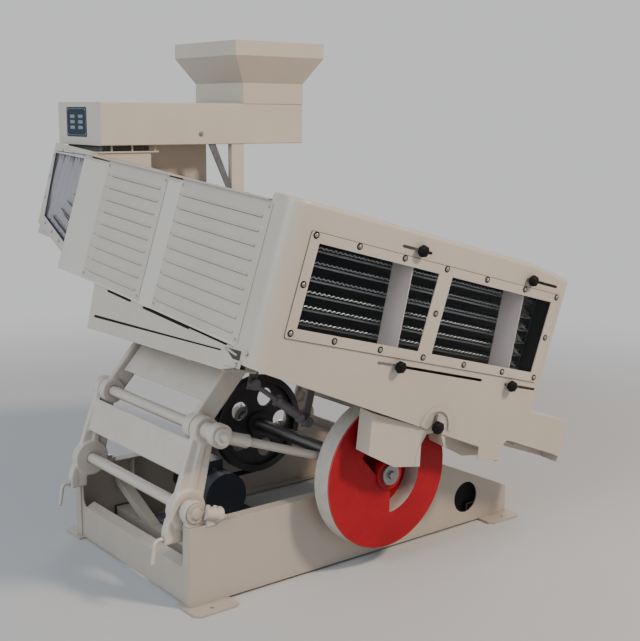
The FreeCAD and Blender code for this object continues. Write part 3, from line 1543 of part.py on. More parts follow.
def duct_supports():
    # post on the deck top at the near side and a slanting flat beside it
    y0 = duct_front + 4
    y1 = y0 + post_depth
    x0 = transition_right + 20
    low = duct_bottom - far_away / 2
    x1 = x0 + post_width
    wall = rib_wall
    post = block(x0, x1, y0, y1, low, duct_bottom)
    post = post.cut(block(x0 + wall, x1 - wall, y0 + wall, y1 + 1, low - 1, duct_bottom - 8))
    end = x0 - 4
    start = end - slant_reach
    slant = outline_xz([(start, duct_bottom), (start + slant_width, duct_bottom),
                        (end, duct_bottom - slant_drop), (end, duct_bottom - slant_drop - 60)],
                       y0 + 4, y0 + 4 + wall)
    under = on_deck(block(deck_left, deck_right, deck_front, deck_rear + 60, -far_away, deck_top))
    return post.cut(under), slant.cut(under)


def build():
    os.makedirs("parts", exist_ok=True)
    near = base_side()
    save("base_side_near", near)
    save("base_side_far", mirrored(near))
    save("base_end_plates", *base_end_plates())
    save("base_cross_members", *base_cross_members())
    save("base_braces", *base_braces())
    save("foot_plates", *foot_plates())
    save("bearing_blocks", *bearing_blocks())
    save("bearing_block_bolts", *block_bolts())
    save("motor", motor(), motor_rail())
    save("drive_belts", *drive_belts())
    save("left_rocker_frame", *rocker_frame(0, True, cross_plate_end))
    save("left_rocker_shafts", lower_shaft(0), left_upper_shaft())
    save("right_rocker_frame", *rocker_frame(rocker_pitch, False, right_plate_end))
    save("right_rocker_shafts", lower_shaft(rocker_pitch), upper_shaft(rocker_pitch, rocker_arm_y + 26))
    handle = clamp_handle()
    save("clamp_handle_far", handle)
    save("clamp_handle_near", mirrored(handle))
    save("drive_shaft", drive_shaft())
    save("flywheel", flywheel())
    save("counterweight", counterweight())
    save("driven_pulley", driven_pulley())
    save("motor_pulley", *motor_pulley())
    save("connecting_rod", connecting_rod())
    save("eccentric_strap", eccentric_strap())
    side = on_cradle(cradle_side())
    save("cradle_side_members", side, mirrored(side))
    save("cradle_cross_members", *[on_cradle(m) for m in cradle_cross_members()])
    arm = on_cradle(cradle_arm())
    save("cradle_arms", arm, mirrored(arm), on_cradle(cradle_plate()))
    bearing = on_cradle(cradle_bearing())
    save("cradle_shaft_bearings", bearing, mirrored(bearing))
    save("deck_tilt_supports", *[on_cradle(p) for p in tilt_supports()])
    save("tilt_adjuster", *[on_cradle(p) for p in tilt_adjuster()])
    save("deck_floor", on_deck(deck_floor()))
    save("deck_walls", *[on_deck(w) for w in deck_walls()])
    save("deck_top", on_deck(deck_top_sheet()))
    save("deck_end_frame", *[on_deck(w) for w in end_frame()])
    save("louvre_cover_near", on_deck(louvre_cover(cover_near, louvre_near)))
    save("louvre_cover_far", on_deck(louvre_cover(cover_far, louvre_far)))
    save("end_skirt", end_skirt())
    save("front_hood", on_deck(front_hood()))
    save("hood_back_plate", on_deck(hood_back()))
    save("window_frame", on_deck(window_frame()))
    save("window_panes", *[on_deck(p) for p in window_panes()])
    save("window_bolts", *[on_deck(b) for b in window_bolts()])
    save("separator_trays", *[on_deck(tray(k)) for k in range(tray_count)])
    save("spout_left", on_deck(spout_left()))
    save("spout_middle", on_deck(spout_middle()))
    save("spout_right", on_deck(spout_right()))
    save("diverter_arc_guide", on_deck(arc_guide()))
    for name, place in zip(("splitter_left", "splitter_right"), splitter_places):
        save(name, on_deck(splitter(place)))
        save(name + "_knobs", *[on_deck(k) for k in splitter_knobs(place)])
    save("diverter_flap", on_deck(diverter_flap()))
    save("diverter_knob", on_deck(diverter_knob()))
    save("feed_chamber", on_deck(feed_chamber()))
    save("feed_window_gasket", on_deck(feed_window_gasket()))
    save("feed_window_pane", on_deck(feed_window_pane()))
    save("feed_chutes", *[on_deck(c) for c in feed_chutes()])
    save("feed_transition", feed_transition())
    save("feed_duct", feed_duct())
    save("hopper", hopper())
    save("duct_supports", *duct_supports())


build()
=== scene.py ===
import bpy
import bmesh
import math
import random
from mathutils import Matrix, Vector


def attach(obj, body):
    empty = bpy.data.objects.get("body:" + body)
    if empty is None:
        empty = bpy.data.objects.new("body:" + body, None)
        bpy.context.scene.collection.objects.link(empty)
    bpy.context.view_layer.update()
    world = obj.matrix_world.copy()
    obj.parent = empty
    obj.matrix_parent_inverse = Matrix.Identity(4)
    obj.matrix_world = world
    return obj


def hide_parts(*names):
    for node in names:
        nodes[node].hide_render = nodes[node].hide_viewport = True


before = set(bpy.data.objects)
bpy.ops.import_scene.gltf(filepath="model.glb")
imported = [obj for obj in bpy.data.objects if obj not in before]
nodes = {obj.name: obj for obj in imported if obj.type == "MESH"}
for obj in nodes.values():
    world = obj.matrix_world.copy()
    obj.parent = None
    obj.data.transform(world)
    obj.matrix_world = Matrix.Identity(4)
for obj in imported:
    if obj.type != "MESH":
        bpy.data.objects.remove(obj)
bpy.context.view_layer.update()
random.seed(11)
print("frame loaded:", len(nodes), "nodes")

# the deck leans down to the right and up to the rear; its frame starts at the top left window screw
deckTilt = {"down": 15.0, "rear": 4.4, "start": (-0.465, -0.706, 1.2435)}


def deckMatrix():
    down, rear = math.radians(deckTilt["down"]), math.radians(deckTilt["rear"])
    along = Vector((math.cos(down), 0, -math.sin(down)))
    up = Vector((math.sin(down), 0, math.cos(down)))
    back = Vector((0, math.cos(rear), 0)) + up * math.sin(rear)
    square = along.cross(back)
    turn = Matrix((along, back, square)).transposed().to_4x4()
    return Matrix.Translation(deckTilt["start"]) @ turn


onDeck = deckMatrix()


def turned(axis, degrees):
    return Matrix.Rotation(math.radians(degrees), 4, axis)


def hoodSpot(a, c, b=0.0):
    # a place on the hood's front: local Z points out at the reader, local X down the slope
    return onDeck @ Matrix.Translation((a, b, c)) @ turned("X", 90)


def endSpot(b, c, a=-0.107):
    # a place on the louvred end: local Z points out, local X up
    return onDeck @ Matrix.Translation((a, b, c)) @ turned("Y", -90)


def spot(x, y, z, way):
    # a place on the upright parts, with local Z along way
    return Matrix.Translation((x, y, z)) @ Vector(way).to_track_quat("Z", "Y").to_matrix().to_4x4()


# Mesh makers: each adds to one bmesh

sixths = [math.pi * j / 3 for j in range(6)]


def ring(maker, points, place=onDeck):
    return [maker.verts.new(place @ Vector(point)) for point in points]


def joinRings(maker, rings):
    for low, high in zip(rings, rings[1:]):
        count = max(len(low), len(high))
        for k in range(count):
            n = k + 1
            corners = (low[k % len(low)], low[n % len(low)], high[n % len(high)], high[k % len(high)])
            face = list(dict.fromkeys(corners))
            if len(face) > 2:
                maker.faces.new(face)


def joinRows(maker, rows):
    # like joinRings, for a sheet that doesn't close
    for low, high in zip(rows, rows[1:]):
        for k in range(len(low) - 1):
            maker.faces.new((low[k], low[k + 1], high[k + 1], high[k]))


def lathe(maker, profile, place, steps=20, lobes=0, lobeDepth=0.0):
    # profile is a list of radius, height and how far the lobes reach at that height
    turns = [2 * math.pi * k / steps for k in range(steps)]
    rings = []
    for radius, height, *share in profile:
        if radius == 0:
            rings.append(ring(maker, [(0, 0, height)], place))
            continue
        swell = (share[0] if share else 0) * lobeDepth
        reaches = [radius + swell * math.cos(lobes * t) for t in turns]
        points = [(r * math.cos(t), r * math.sin(t), height) for r, t in zip(reaches, turns)]
        rings.append(ring(maker, points, place))
    joinRings(maker, rings)


def prism(maker, outline, low, high, place, capped=True):
    bottom = ring(maker, [(x, y, low) for x, y in outline], place)
    top = ring(maker, [(x, y, high) for x, y in outline], place)
    for k in range(len(outline)):
        n = (k + 1) % len(outline)
        maker.faces.new((bottom[k], bottom[n], top[n], top[k]))
    if capped:
        maker.faces.new(bottom[::-1])
        maker.faces.new(top)


def rectangle(x0, x1, y0, y1, round=0.0):
    if not round:
        return [(x0, y0), (x1, y0), (x1, y1), (x0, y1)]
    left, right, low, high = x0 + round, x1 - round, y0 + round, y1 - round
    points = []
    for n, (x, y) in enumerate(((right, high), (left, high), (left, low), (right, low))):
        for step in range(4):
            turn = math.radians(90 * n + 30 * step)
            points.append((x + round * math.cos(turn), y + round * math.sin(turn)))
    return points


def hexHead(maker, place, radius, height, washer=0.0):
    base = 0.0016 if washer else 0.0
    if washer:
        disc = [(0, 0), (washer, 0), (washer, base * 0.7), (washer - 0.0005, base), (0, base)]
        lathe(maker, disc, place, 24)
    top = base + height
    head = [(0, base), (radius, base), (radius, base + height * 0.78), (radius * 0.88, top), (0, top)]
    lathe(maker, head, place, 6)


def panHead(maker, place, radius, height):
    dome = ((0, 0), (1, 0), (0.96, 0.4), (0.78, 0.78), (0.4, 0.97), (0, 1))
    lathe(maker, [(radius * r, height * h) for r, h in dome], place, 16)


def weldBead(maker, start, end, radius):
    # a run of overlapping coins, each a little off its neighbours
    start, end = Vector(start), Vector(end)
    turn = (end - start).to_track_quat("Z", "Y").to_matrix()
    steps = max(6, int((end - start).length / (radius * 0.45)))
    rings = [[maker.verts.new(start)]]
    for k in range(1, steps):
        swell = radius * (0.8 + 0.26 * abs(math.sin(k * 0.9)) + random.uniform(-0.05, 0.05))
        drift = Vector((random.uniform(-1, 1), random.uniform(-1, 1), 0)) * radius * 0.08
        centre = start.lerp(end, k / steps)
        coin = [Vector((swell * math.cos(t), swell * math.sin(t), 0)) for t in sixths]
        rings.append([maker.verts.new(centre + turn @ (drift + side)) for side in coin])
    rings.append([maker.verts.new(end)])
    joinRings(maker, rings)


def linked(name, data):
    thing = bpy.data.objects.new(name, data)
    bpy.context.scene.collection.objects.link(thing)
    return thing


def addPiece(name, maker, body, paint, replaced=(), soft=35):
    mesh = bpy.data.meshes.new(name)
    bmesh.ops.recalc_face_normals(maker, faces=maker.faces)
    maker.to_mesh(mesh)
    maker.free()
    mesh.shade_smooth()
    mesh.set_sharp_from_angle(angle=math.radians(soft))
    mesh.materials.append(paints[paint])
    piece = linked(name, mesh)
    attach(piece, body)
    if replaced:
        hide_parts(*replaced)
    return piece


def addStrips(name, outlines, thick, place, paint):
    maker = bmesh.new()
    for outline in outlines:
        prism(maker, outline, 0, thick, place)
    addPiece(name, maker, "deck", paint)


# Camera, light and floor

camera = {
    "place": (-2.4898, -3.3105, 1.6053),
    "heading": 51.88,  # degrees from +X towards +Y
    "pitch": 10.72,  # degrees below the horizon
    "roll": 0.38,
    "lens": 61.55,
}


def placeCamera():
    a, p, r = (math.radians(camera[k]) for k in ("heading", "pitch", "roll"))
    ahead = Vector((math.cos(a) * math.cos(p), math.sin(a) * math.cos(p), -math.sin(p)))
    right = Vector((math.sin(a), -math.cos(a), 0))
    up = right.cross(ahead)
    rolledRight = right * math.cos(r) + up * math.sin(r)
    rolledUp = up * math.cos(r) - right * math.sin(r)
    turn = Matrix((rolledRight, rolledUp, -ahead)).transposed().to_4x4()
    data = bpy.data.cameras.new("photoCamera")
    data.lens = camera["lens"]
    data.sensor_width = 36
    data.clip_end = 100
    cam = linked("photoCamera", data)
    cam.matrix_world = Matrix.Translation(camera["place"]) @ turn
    bpy.context.scene.camera = cam


studio = {
    "horizon": (0.705, 0.71, 0.722),
    "overhead": (0.33, 0.35, 0.395),
    "skyBand": (0.1, 0.6),  # sine of the height where one turns into the other
    "room": (0.43, 0.44, 0.465),  # the dimmer side of the studio, away from the backdrop
    "backdropWay": (0.62, 0.78, 0.0),
    "backdropBand": (-0.4, 0.2),
    "lights": {  # place, width, watts, colour
        "keyLight": ((2.6, -5.4, 5.6), 1.1, 475.0, (1.0, 0.815, 0.63)),
        "fillLight": ((-6.5, -1.5, 4.2), 5.0, 315.0, (0.86, 0.95, 1.0)),
        "backLight": ((4.6, 5.8, 4.4), 4.0, 120.0, (1.0, 0.95, 0.9)),
    },
    "aim": (0.0, -0.1, 0.9),
    "floorColour": (0.52, 0.525, 0.535),
    "floorFade": (2.2, 5.2),  # metres from the middle where the floor thins out into the backdrop
}


def areaLight(name, place, size, power, colour):
    data = bpy.data.lights.new(name, "AREA")
    data.shape = "DISK"
    data.size = size
    data.energy = power
    data.color = colour
    lamp = linked(name, data)
    lamp.location = place
    lamp.rotation_euler = (Vector(studio["aim"]) - Vector(place)).to_track_quat("-Z", "Y").to_euler()


# Shader maths: one wrapped socket, so that masks read as sums and products

class Wire:
    def __init__(self, paint, socket):
        self.paint = paint
        self.socket = socket

    def maths(self, kind, *values, clamp=False):
        settings = {"operation": kind, "use_clamp": clamp}
        return self.paint.add("Math", settings, dict(enumerate((self,) + values)))

    def __add__(self, other):
        return self.maths("ADD", other)

    __radd__ = __add__

    def __mul__(self, other):
        return self.maths("MULTIPLY", other)

    __rmul__ = __mul__

    def __sub__(self, other):
        return self.maths("SUBTRACT", other)

    def __neg__(self):
        return self.maths("MULTIPLY", -1.0)

    def __rsub__(self, other):
        return self.paint.add("Math", {"operation": "SUBTRACT"}, {0: other, 1: self})

    def __pow__(self, other):
        return self.maths("POWER", other)

    def most(self, other):
        return self.maths("MAXIMUM", other)

    def kept(self):
        return self.maths("MULTIPLY", 1.0, clamp=True)

    def over(self, low, high):
        # 0 below low, 1 above high, smooth between
        sockets = {"Value": self, "From Min": low, "From Max": high}
        return self.paint.add("MapRange", {"interpolation_type": "SMOOTHSTEP"}, sockets)


class Paint:
    def __init__(self, name, world=None):
        self.material = world or bpy.data.materials.new(name)
        self.material.use_nodes = True
        self.tree = self.material.node_tree
        self.shader = self.tree.nodes["Background" if world else "Principled BSDF"]
        self.at = None if world else self.add("TexCoord", out="Object")

    def add(self, kind, settings=None, sockets=None, out=0):
        node = self.tree.nodes.new("ShaderNode" + kind)
        for key, value in (settings or {}).items():
            setattr(node, key, value)
        for key, value in (sockets or {}).items():
            self.feed(node.inputs[key], value)
        return Wire(self, node.outputs[out])

    def feed(self, socket, value):
        if isinstance(value, Wire):
            self.tree.links.new(value.socket, socket)
        elif isinstance(value, tuple) and len(value) == 3 and socket.type == "RGBA":
            socket.default_value = (*value, 1)
        else:
            socket.default_value = value

    def axis(self, vector, letter):
        return self.add("SeparateXYZ", None, {0: vector}, out=letter)

    def noise(self, scale, detail, rough, stretch=None):
        at = self.at
        if stretch:
            at = self.add("Mapping", None, {"Vector": at, "Scale": stretch})
        sockets = {"Vector": at, "Scale": scale, "Detail": detail, "Roughness": rough}
        return self.add("TexNoise", None, sockets)

    def mix(self, share, first, second):
        # colour mix
        node = self.tree.nodes.new("ShaderNodeMix")
        node.data_type = "RGBA"
        for socket, value in ((node.inputs[0], share), (node.inputs[6], first), (node.inputs[7], second)):
            self.feed(socket, value)
        return Wire(self, node.outputs[2])

    def edges(self, radius):
        # 1 on a worn corner, 0 on a flat, and the rounded normal
        soft = self.add("Bevel", {"samples": 4}, {"Radius": radius})
        true = self.add("NewGeometry", out="Normal")
        dot = self.add("VectorMath", {"operation": "DOT_PRODUCT"}, {0: soft, 1: true}, out="Value")
        return 1 - dot, soft

    def creases(self, reach):
        return 1 - self.add("AmbientOcclusion", {"samples": 4}, {"Distance": reach}, out="AO")

    def bump(self, height, strength, depth, normal=None):
        sockets = {"Height": height, "Strength": strength, "Distance": depth}
        if normal:
            sockets["Normal"] = normal
        return self.add("Bump", None, sockets)

    def set(self, **values):
        for key, value in values.items():
            self.feed(self.shader.inputs[key.replace("_", " ")], value)
        return self.material


paints = {}

enamel = {  # base, second tone, worn edge, dirt and painted shade, waviness
    "cream": ((0.462, 0.41, 0.35), (0.42, 0.368, 0.31), (0.62, 0.58, 0.52), (0.16, 0.13, 0.1), 0.25),
    "rocker": ((0.57, 0.516, 0.455), (0.525, 0.47, 0.408), (0.7, 0.66, 0.6), (0.18, 0.15, 0.12), 0.25),
    "panel": ((0.54, 0.486, 0.416), (0.5, 0.446, 0.375), (0.67, 0.635, 0.58), (0.19, 0.16, 0.13), 0.7),
    # painted light: a lighter copy of the panel paint, standing for the light the bowed stiles catch
    "stile": ((0.6, 0.56, 0.5), (0.56, 0.52, 0.462), (0.7, 0.665, 0.61), (0.2, 0.17, 0.14), 0.5),
    "tube": ((0.462, 0.41, 0.35), (0.42, 0.368, 0.31), (0.66, 0.62, 0.56), (0.17, 0.14, 0.11), 0.25),
    "stay": ((0.25, 0.25, 0.262), (0.19, 0.19, 0.205), (0.42, 0.41, 0.4), (0.08, 0.07, 0.06), 0.2),
    # painted light: a lighter copy of the panel paint, making up for the shade the splitters sit in
    "splitter": ((0.93, 0.83, 0.795), (0.87, 0.77, 0.74), (0.8, 0.77, 0.76), (0.25, 0.22, 0.2), 0.3),
    # painted shade: the motor is darkened to stand for the shade it sits in
    "motor": ((0.05, 0.06, 0.082), (0.036, 0.044, 0.062), (0.2, 0.21, 0.23), (0.03, 0.028, 0.026), 0.2),
}

enamelLook = {
    "wavinessScale": 5.0,
    "peelScale": 620.0,
    "edgeRadius": 0.0022,
    "creaseReach": 0.035,
    "tubeEnds": (0.3925, 0.3935),  # the cross tubes are painted black beyond this, as painted shade behind the hand holes
    "holeShadeBlack": (0.006, 0.006, 0.006),
}


def enamelPaint(name):
    base, shade, worn, dirtAndShade, wave = enamel[name]
    look = enamelLook
    paint = Paint(name + "Enamel")
    broad = paint.noise(2.3, 4, 0.55)
    patch = paint.noise(11, 5, 0.6)
    speck = paint.noise(160, 2, 0.5)
    runs = paint.noise(9, 3, 0.6, (1, 1, 0.14))
    edge, soft = paint.edges(look["edgeRadius"])
    # painted shade: ambient occlusion darkens the creases towards the dirt colour, together with grime
    crease = paint.creases(look["creaseReach"])
    chips = (edge * 2.2 * (patch * 1.6 - 0.15)).over(0.16, 0.34)
    creaseGrimeAndShade = (crease * (0.35 + patch * 0.8)).kept()
    # painted shade: faces that look down are darkened towards the dirt colour
    under = -paint.axis(paint.add("NewGeometry", out="Normal"), "Z")
    colour = paint.mix((broad * 0.9 + runs * 0.35 - 0.1).over(0.3, 0.8), base, shade)
    colour = paint.mix(under.over(0.12, 0.6) * 0.3, colour, dirtAndShade)
    colour = paint.mix(chips * 0.55, colour, worn)
    colour = paint.mix(creaseGrimeAndShade * 0.42 + speck.over(0.68, 0.8) * 0.07, colour, dirtAndShade)
    # painted shade: the tube ends seen through the hand holes are painted black
    if name == "tube":
        across = paint.axis(paint.at, "Y")
        ends = across.over(*look["tubeEnds"]) + (-across).over(*look["tubeEnds"])
        colour = paint.mix(ends, colour, look["holeShadeBlack"])
    peel = paint.noise(look["peelScale"], 2, 0.5)
    waviness = paint.noise(look["wavinessScale"], 2, 0.4)
    return paint.set(
        Base_Color=colour,
        Roughness=0.34 + patch * 0.14 + creaseGrimeAndShade * 0.22,
        Normal=paint.bump(peel * 0.12 + waviness * wave, 0.35, 0.0012, soft),
        Specular_IOR_Level=0.5,
        Coat_Weight=0.12,
        Coat_Roughness=0.22,
    )


wheelPaint = {
    "red": (0.375, 0.006, 0.0135),
    "redShade": (0.29, 0.0045, 0.01),
    "rim": (0.52, 0.485, 0.435),
    "rimShade": (0.45, 0.418, 0.372),
    "worn": (0.5, 0.16, 0.14),
    "axle": (-0.004, 0.351),
    "hubReach": (0.075, 0.08),  # inside this radius every face is red
}


def flywheelPaint(allRed=False):
    # red on the faces that look along the shaft, bare primer grey on the turned sides
    paint = Paint("flywheelRed" if allRed else "flywheelTwoTone")
    broad = paint.noise(6, 4, 0.55)
    brushed = paint.noise(38, 4, 0.65)
    edge, soft = paint.edges(0.002)
    crease = paint.creases(0.03)
    red = paint.mix(broad.over(0.3, 0.75), wheelPaint["red"], wheelPaint["redShade"])
    red = paint.mix((edge * 3 * brushed).over(0.2, 0.5) * 0.5, red, wheelPaint["worn"])
    if allRed:
        colour = red
    else:
        facing = paint.axis(paint.add("TexCoord", out="Normal"), "Y")
        faces = facing.maths("ABSOLUTE").over(0.55, 0.75)
        across = paint.axis(paint.at, "X") - wheelPaint["axle"][0]
        up = paint.axis(paint.at, "Z") - wheelPaint["axle"][1]
        hub = 1 - ((across * across + up * up) ** 0.5).over(*wheelPaint["hubReach"])
        rim = paint.mix(brushed.over(0.35, 0.7), wheelPaint["rim"], wheelPaint["rimShade"])
        colour = paint.mix(faces.most(hub), rim, red)
    # painted shade: ambient occlusion darkens the creases
    colour = paint.mix(crease * 0.35, colour, (0.05, 0.02, 0.02))
    height = paint.noise(26, 5, 0.6) * 0.8 + paint.noise(500, 2, 0.5) * 0.15
    return paint.set(
        Base_Color=colour,
        Roughness=0.44 + brushed * 0.2,
        Specular_IOR_Level=0.25,
        Normal=paint.bump(height, 0.5, 0.0012, soft),
    )


metal = {  # base, dark patches and painted shade in creases, roughness, how the grain is drawn out
    "shaft": ((0.3, 0.295, 0.29), (0.17, 0.165, 0.16), 0.34, (1, 30, 30)),
    "zinc": ((0.62, 0.62, 0.6), (0.42, 0.42, 0.41), 0.33, (12, 12, 12)),
    # painted highlight: the trays' rolled edges are a bright copy of their steel
    "trayEdge": ((0.66, 0.74, 0.78), (0.5, 0.57, 0.6), 0.4, (1, 14, 1)),
    # painted shade: the tray sheets are a dark copy of the same steel
    "tray": ((0.17, 0.195, 0.195), (0.07, 0.085, 0.085), 0.4, (1, 14, 1)),
    "trayRail": ((0.36, 0.38, 0.38), (0.22, 0.23, 0.24), 0.46, (1, 10, 10)),
    "screw": ((0.4, 0.39, 0.375), (0.15, 0.15, 0.15), 0.2, (8, 8, 8)),
    "panelScrew": ((0.44, 0.43, 0.41), (0.28, 0.27, 0.26), 0.38, (8, 8, 8)),
    "plateSilver": ((0.32, 0.38, 0.43), (0.2, 0.25, 0.29), 0.4, (6, 30, 6)),
    # painted shade: the pulleys are darkened to stand for the shade they sit in
    "iron": ((0.115, 0.118, 0.125), (0.055, 0.056, 0.06), 0.5, (1, 20, 1)),
}


def metalPaint(name):
    base, dark, rough, stretch = metal[name]
    paint = Paint(name + "Metal")
    grain = paint.noise(60, 4, 0.6, stretch)
    patch = paint.noise(9, 4, 0.6)
    edge, soft = paint.edges(0.0012)
    crease = paint.creases(0.02)
    # painted shade: ambient occlusion in the creases joins the dark patches
    colour = paint.mix((patch * 0.8 + crease * 0.6).over(0.35, 0.95), base, dark)
    height = grain + paint.noise(700, 1, 0.5) * 0.3
    return paint.set(
        Base_Color=paint.mix(edge.over(0.1, 0.4) * 0.4, colour, (0.8, 0.79, 0.77)),
        Metallic=1.0,
        Roughness=rough + grain * 0.16 + crease * 0.2,
        Normal=paint.bump(height, 0.25, 0.0004, soft),
    )


def knobPaint():
    paint = Paint("blackPhenolic")
    swirl = paint.noise(70, 4, 0.6)
    scuff = paint.noise(240, 3, 0.7)
    edge, soft = paint.edges(0.0018)
    colour = paint.mix(swirl.over(0.4, 0.7), (0.004, 0.004, 0.0045), (0.009, 0.009, 0.009))
    return paint.set(
        Base_Color=paint.mix(edge.over(0.12, 0.4) * scuff * 0.6, colour, (0.06, 0.06, 0.06)),
        Roughness=0.42 + scuff * 0.2,
        Specular_IOR_Level=0.16,
        Normal=paint.bump(scuff, 0.15, 0.0004, soft),
    )


rubber = {  # material, how fine its pits are, tone, share of blue
    "belt": ("beltRubber", 380, 0.016, 1.06),
    # black for the washers' painted shade and for the plate's seal, which also stands for its shadow line
    "gasket": ("shadeAndSealRubber", 500, 0.016, 1.06),
    "bootRubber": ("bootRubber", 300, 0.11, 1.06),
    "slitShadow": ("slitShadow", 300, 0.055, 0.9),
    "pocketShadow": ("pocketShadow", 300, 0.062, 0.84),
    # black for painted shade, also for the feed window's dark joints
    "shade": ("shadeAndJointBlack", 260, 0.006, 1.06),
}


def rubberPaint(name):
    material, scale, tone, blue = rubber[name]
    paint = Paint(material)
    pit = paint.noise(scale, 3, 0.6)
    dust = paint.noise(14, 4, 0.6)
    dusty = (tone * 2 + 0.012, tone * 1.95 + 0.011, tone * 1.85 + 0.01)
    return paint.set(
        Base_Color=paint.mix(dust.over(0.45, 0.8) * 0.4, (tone, tone, tone * blue), dusty),
        Roughness=0.62 + pit * 0.2,
        Normal=paint.bump(pit, 0.3, 0.0006),
        Specular_IOR_Level=0.2,
    )


glass = {  # material, tint, share of light let through
    # painted shade: the window pane's dark tint also darkens the view of the trays
    "window": ("windowPane", (0.02, 0.025, 0.03), 0.93),
    "feedWindow": ("feedPane", (0.2, 0.2, 0.23), 0.9),
}


def glassPaint(name):
    # thin sheet: mostly see-through, with dust in the corners
    material, tint, clear = glass[name]
    paint = Paint(material)
    dust = paint.noise(6, 5, 0.65)
    crease = paint.creases(0.03)
    return paint.set(
        Base_Color=paint.mix(dust, tint, tuple(share * 1.3 for share in tint)),
        Roughness=0.04 + dust * 0.05,
        Alpha=dust.over(0.5, 0.85) * 0.04 + crease * 0.05 + (1 - clear),
        Specular_IOR_Level=0.6,
        Normal=paint.bump(paint.noise(3, 2, 0.4), 0.05, 0.002),
    )


def castingPaint():
    # thick enamel over a sand-cast skin
    base, shade, worn, dirtAndShade = enamel["rocker"][:4]
    paint = Paint("castingEnamel")
    skin = paint.noise(210, 4, 0.62)
    lumps = paint.noise(34, 3, 0.5)
    patch = paint.noise(12, 4, 0.6)
    edge, soft = paint.edges(0.0016)
    crease = paint.creases(0.03)
    # painted shade: ambient occlusion darkens the creases towards the dirt colour, together with grime
    creaseGrimeAndShade = (crease * (0.4 + patch * 0.8)).kept()
    colour = paint.mix(patch.over(0.35, 0.75), base, shade)
    colour = paint.mix((edge * 2 * patch).over(0.2, 0.5) * 0.4, colour, worn)
    colour = paint.mix(creaseGrimeAndShade * 0.45, colour, dirtAndShade)
    return paint.set(
        Base_Color=colour,
        Roughness=0.4 + patch * 0.12 + creaseGrimeAndShade * 0.2,
        Normal=paint.bump(skin * 0.5 + lumps * 0.9, 0.5, 0.0011, soft),
        Coat_Weight=0.08,
        Coat_Roughness=0.3,
    )


def plateBluePaint():
    paint = Paint("plateBlue")
    rub = paint.noise(90, 4, 0.6, (1, 3, 1))
    edge, soft = paint.edges(0.0008)
    colour = paint.mix(rub.over(0.4, 0.75), (0.015, 0.032, 0.054), (0.023, 0.044, 0.068))
    return paint.set(
        Base_Color=paint.mix(edge.over(0.1, 0.4) * 0.6, colour, (0.35, 0.4, 0.46)),
        Roughness=0.5 + rub * 0.2,
        Specular_IOR_Level=0.25,
        Normal=paint.bump(rub, 0.15, 0.0003, soft),
    )


def flutePaint():
    # zinc plate and chutes, darker towards the bottom, with painted shade in the creases
    paint = Paint("flutedZinc")
    grain = paint.noise(70, 4, 0.6, (1, 1, 0.2))
    patch = paint.noise(9, 4, 0.6)
    crease = paint.creases(0.03)
    # darker towards the bottom, and painted shade in creases from ambient occlusion
    dust = (1 - paint.axis(paint.at, "Z").over(1.02, 1.22)) * 0.35 + crease * 0.5
    colour = paint.mix(patch.over(0.35, 0.75), (0.565, 0.525, 0.55), (0.475, 0.44, 0.465))
    return paint.set(
        Base_Color=paint.mix(dust.kept() * 0.6, colour, (0.16, 0.15, 0.17)),
        Roughness=0.42 + grain * 0.2,
        Normal=paint.bump(grain, 0.2, 0.0005),
    )


def bracePaint():
    # cream post with a bare steel flat beside it
    paint = Paint("postAndBrace")
    base, shade, worn = enamel["panel"][:3]
    patch = paint.noise(14, 4, 0.6)
    scale = paint.noise(120, 4, 0.65, (1, 1, 0.3))
    edge, soft = paint.edges(0.0016)
    bare = 1 - paint.axis(paint.at, "X").over(0.1285, 0.13)
    cream = paint.mix(patch.over(0.3, 0.75), base, shade)
    steel = paint.mix(scale.over(0.35, 0.7), (0.155, 0.165, 0.18), (0.1, 0.105, 0.118))
    colour = paint.mix(bare, cream, steel)
    return paint.set(
        Base_Color=paint.mix((edge * 2 * patch).over(0.2, 0.5) * 0.35, colour, worn),
        Metallic=bare * 0.35,
        Roughness=0.36 + scale * 0.2,
        Normal=paint.bump(scale, 0.25, 0.0006, soft),
    )


def buildPaints():
    tables = (enamel, enamelPaint), (metal, metalPaint), (rubber, rubberPaint), (glass, glassPaint)
    for table, makePaint in tables:
        for name in table:
            paints[name] = makePaint(name)
    paints["wheel"] = flywheelPaint()
    paints["red"] = flywheelPaint(True)
    paints["knob"] = knobPaint()
    paints["casting"] = castingPaint()
    paints["plateBlue"] = plateBluePaint()
    paints["flute"] = flutePaint()
    paints["brace"] = bracePaint()


nodePaint = {
    "cream": ["base_side_near", "base_side_far", "base_end_plates", "base_braces", "foot_plates",
              "cradle_side_members", "cradle_cross_members"],
    "rocker": ["bearing_blocks", "left_rocker_frame", "right_rocker_frame", "cradle_arms",
               "cradle_shaft_bearings", "connecting_rod", "eccentric_strap", "clamp_handle_near",
               "clamp_handle_far", "left_rocker_shafts", "right_rocker_shafts"],
    "stile": ["deck_end_frame"],
    "splitter": ["splitter_left", "splitter_right"],
    "panel": ["deck_floor", "deck_walls", "deck_top", "louvre_cover_near", "louvre_cover_far",
              "end_skirt", "front_hood", "hood_back_plate", "window_frame", "spout_left",
              "spout_middle", "spout_right", "diverter_arc_guide", "feed_chamber",
              "feed_transition", "feed_duct", "hopper", "feed_chutes"],
    "brace": ["duct_supports"],
    "motor": ["motor"],
    "shaft": ["drive_shaft", "diverter_flap"],
    "tube": ["base_cross_members"],
    "stay": ["deck_tilt_supports", "tilt_adjuster"],
    "zinc": ["bearing_block_bolts", "window_bolts"],
    "tray": ["separator_trays"],
    "iron": ["driven_pulley", "motor_pulley"],
    "wheel": ["flywheel"],
    "red": ["counterweight"],
    "knob": ["splitter_left_knobs", "splitter_right_knobs", "diverter_knob"],
    "belt": ["drive_belts"],
    "flute": ["feed_window_gasket"],
    "window": ["window_panes"],
    "feedWindow": ["feed_window_pane"],
}


